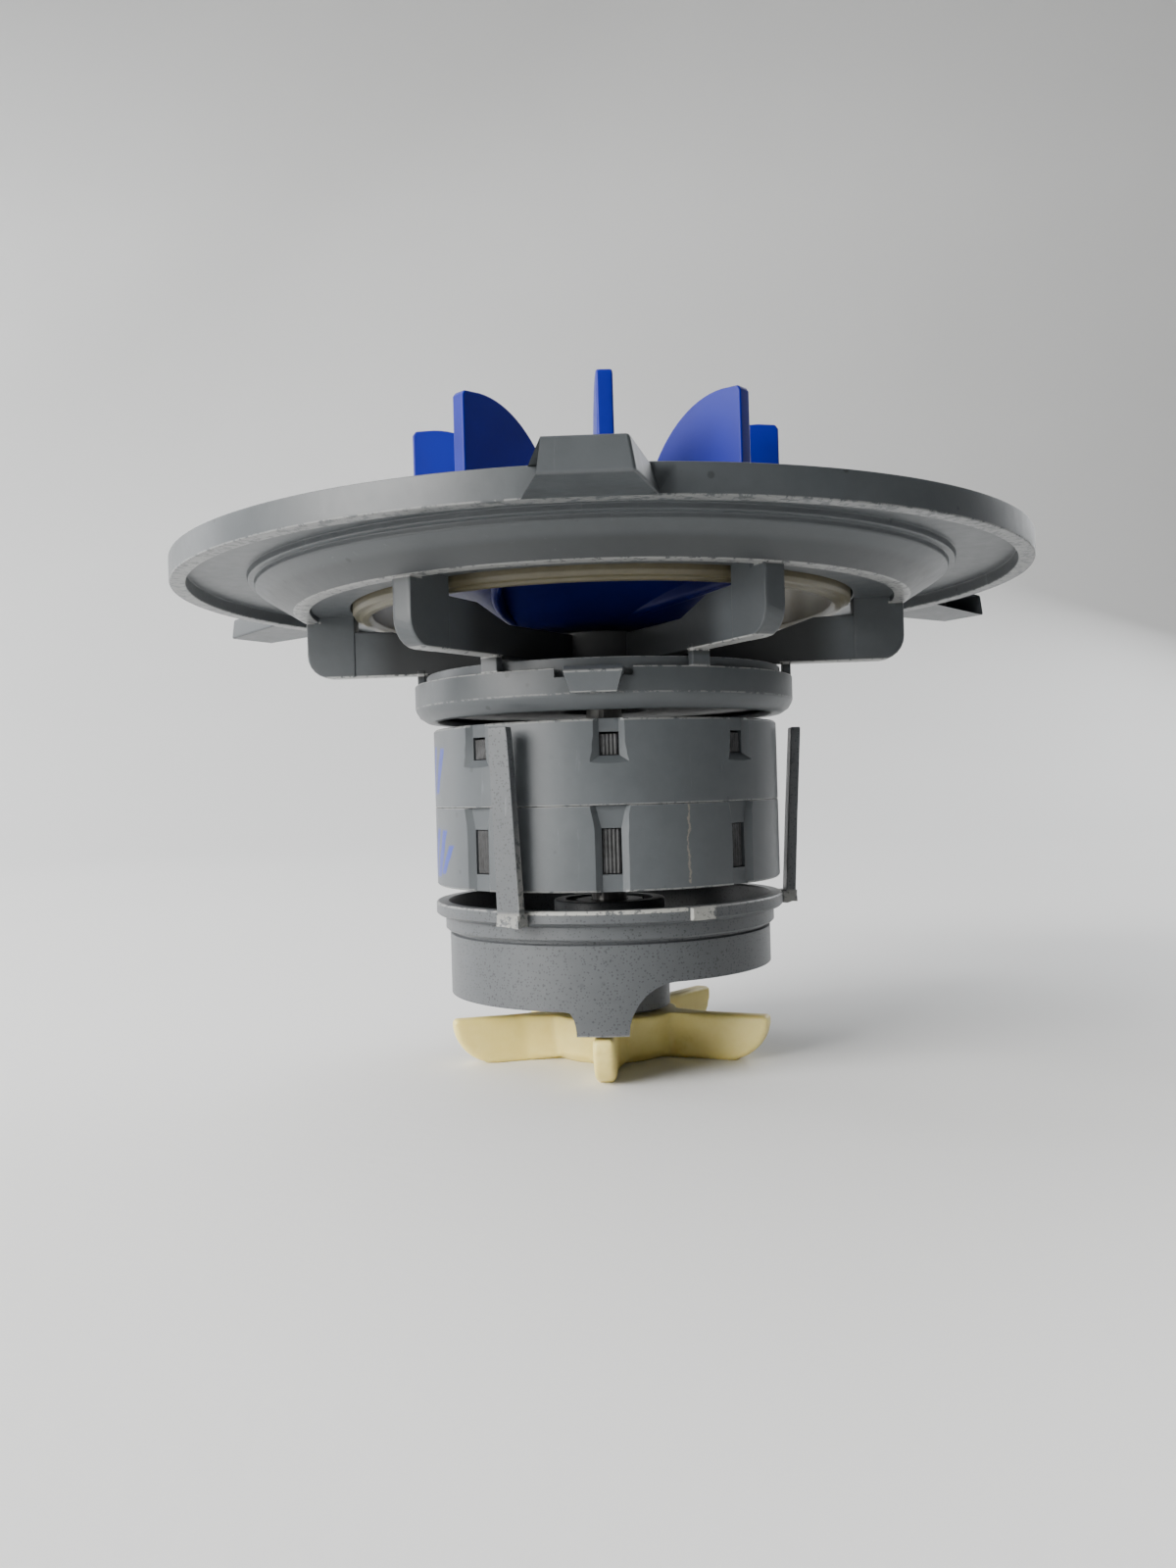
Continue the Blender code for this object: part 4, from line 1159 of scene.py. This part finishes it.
def makeCap():
    c = cap
    # even steps round the skirt, and closer ones at the leg's two sides
    stops = {round(c["legFrom"] + 2.0 * step, 3) for step in range(180)}
    stops |= {c["legTo"] + shift for shift in (0, 0.4, 1.0)}
    stops |= {c["legFrom"] - shift for shift in (0.05, 0.3, 0.8)}
    stops = sorted(stops)
    inner = c["skirt"] - c["skirtWall"]
    shell = startLine("lowerHousing", [polar(inner, stop, skirtEdge(stop)) for stop in stops])
    bpy.ops.mesh.select_all(action="SELECT")
    # out to the skirt's face, then level and up through neck and rim to the cup, boss and chamber
    push(0, 0, 0)
    size = c["skirt"] / inner
    scaled(size, size, 1, 0)
    push(0, 0, 0)
    scaled(1, 1, 0, c["groove"] - 0.7)
    groove, low, top, rim, bore = c["groove"], c["rimLow"], c["rimTop"], c["rim"], c["bore"]
    neck, web, band = rim - 1.5, c["arch"] + 1.4, c["skirt"] - 0.45
    growRings(c["skirt"], groove - 0.7, [
        (band, groove - 0.45), (band, groove), (neck - 0.3, groove), (neck, groove + 0.3),
        (neck, low - 0.45), (rim - 0.3, low), (rim, low + 0.3), (rim, top - 0.2), (rim - 0.2, top),
        (rim - 2.0, top), (rim - 2.3, top - 0.4), (inner + 0.6, web + 2.6), (inner - 0.2, web + 2.0),
        (9.8, web + 2.0), (9.4, web + 2.4), (9.4, c["bossTop"] - 0.2), (9.2, c["bossTop"]),
        (bore, c["bossTop"]), (bore, c["bossLow"]), (9.6, c["bossLow"]), (9.9, c["bossLow"] + 0.3),
        (9.9, web - 0.4), (10.3, web), (inner - 0.4, web), (inner, web - 0.4),
    ])
    return closeRings(shell, len(stops))


def tornBlock(name, points, shift, height, cuts):
    # a small raised block, cut into little faces that can be torn
    piece = startLine(name, points)
    fill()
    push(shift, 0, height)
    bpy.ops.mesh.select_all(action="SELECT")
    bpy.ops.mesh.subdivide(number_cuts=cuts)
    leave()
    return piece


def byPlace(piece):
    # the vertices in order of place, so that each one gets the same random pull in every run
    return sorted(piece.data.vertices, key=lambda vertex: [round(part / mm, 3) for part in vertex.co])


def makeArm():
    corners = [(-2.05, -30.1, 25.1), (2.05, -30.1, 25.1), (2.05, -31.7, 25.1), (-2.05, -31.7, 25.1)]
    arm = startLine("arm", corners)
    fill()
    for up, aside, out, narrow in cap["armSteps"]:
        push(aside, -out, up)
        bpy.ops.transform.resize(value=(narrow, 1, 1))
    leave()
    settle(arm)
    rounded(arm, 0.22, 2, 50)
    foot = plate("foot", [(28.1, 25.4), (31.4, 25.4), (31.4, 26.9), (28.1, 26.9)], 3.5)
    fused(arm, rounded(foot, 0.15))
    # a torn wedge of whitened plastic where the arm has been bent
    corners = [(-2.1, -29.3, 24.8), (2.0, -29.3, 24.8), (1.9, -31.9, 24.75), (-2.0, -31.9, 24.95)]
    tear = tornBlock("tear", corners, 0.05, 1.9, 2)
    for vertex in byPlace(tear):
        pull = Vector((random.uniform(-1, 1), random.uniform(-0.6, 0.6), random.uniform(-1, 1)))
        vertex.co += pull * cap["tearing"] * mm
    settle(tear)
    return fused(arm, tear)


def makeStub():
    corners = [(-2.0, -28.4, 25.1), (2.0, -28.4, 25.1), (2.0, -30.3, 25.1), (-2.0, -30.3, 25.1)]
    stub = tornBlock("stub", corners, 0, 1.95, 3)
    level, sideways, ragged = 26.8, 0.08, 0.28
    for vertex in byPlace(stub):
        lift = ragged if vertex.co.z > level * mm else sideways
        across, along = random.uniform(-1, 1) * sideways, random.uniform(-1, 1) * sideways
        vertex.co += Vector((across, along, random.uniform(-1, 0.3) * lift)) * mm
    settle(stub)
    return spun(stub, cap["stub"])


def makeLowerHousing():
    shell = makeCap()
    random.seed(7)
    fused(shell, repeated(makeArm(), cap["arms"], cap["armFirst"]))
    return fused(shell, makeStub())


white = cap["white"]
capWear = [
    wearAndPaintedLightBand((26.45, 27.1), (28.9, 29.6), 1.0, 0.36, turn=(-22.0, 26.0), colour=white),
    wearAndPaintedLightBand((26.7, 27.1), (28.9, 29.6), 0.5, 0.40),
    wearAndPaintedLightBand((24.5, 26.9), (29.6, 32.2), 0.5, 0.36, soft=0.3, colour=white),
    wearAndPaintedLightBand((25.0, 27.2), (29.4, 30.8), 0.55, 0.34, turn=(26.0, 35.0), colour=white),
    wearAndPaintedLightBand((27.5, 55.2), (30.2, 34.5), 0.55, 0.38, soft=0.2, turn=(-22.6, -21.6), colour=white),
    wearAndPaintedLightBand((7.8, 8.2), (25.0, 27.4), 0.35, 0.40),
]
speckled = greyFinish("speckled grey", (0.082, 0.088, 0.094), capWear, specks=0.5, grainScale=1150.0)
finished(makeLowerHousing(), "lower_housing", "speckled_grey", speckled, "lower_housing", angle=30)


# the model's box before and after

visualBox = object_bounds()
for name, box in (("cad", cadBox), ("visual", visualBox)):
    print("size:", name, [round(value, 4) for corner in box for value in corner])
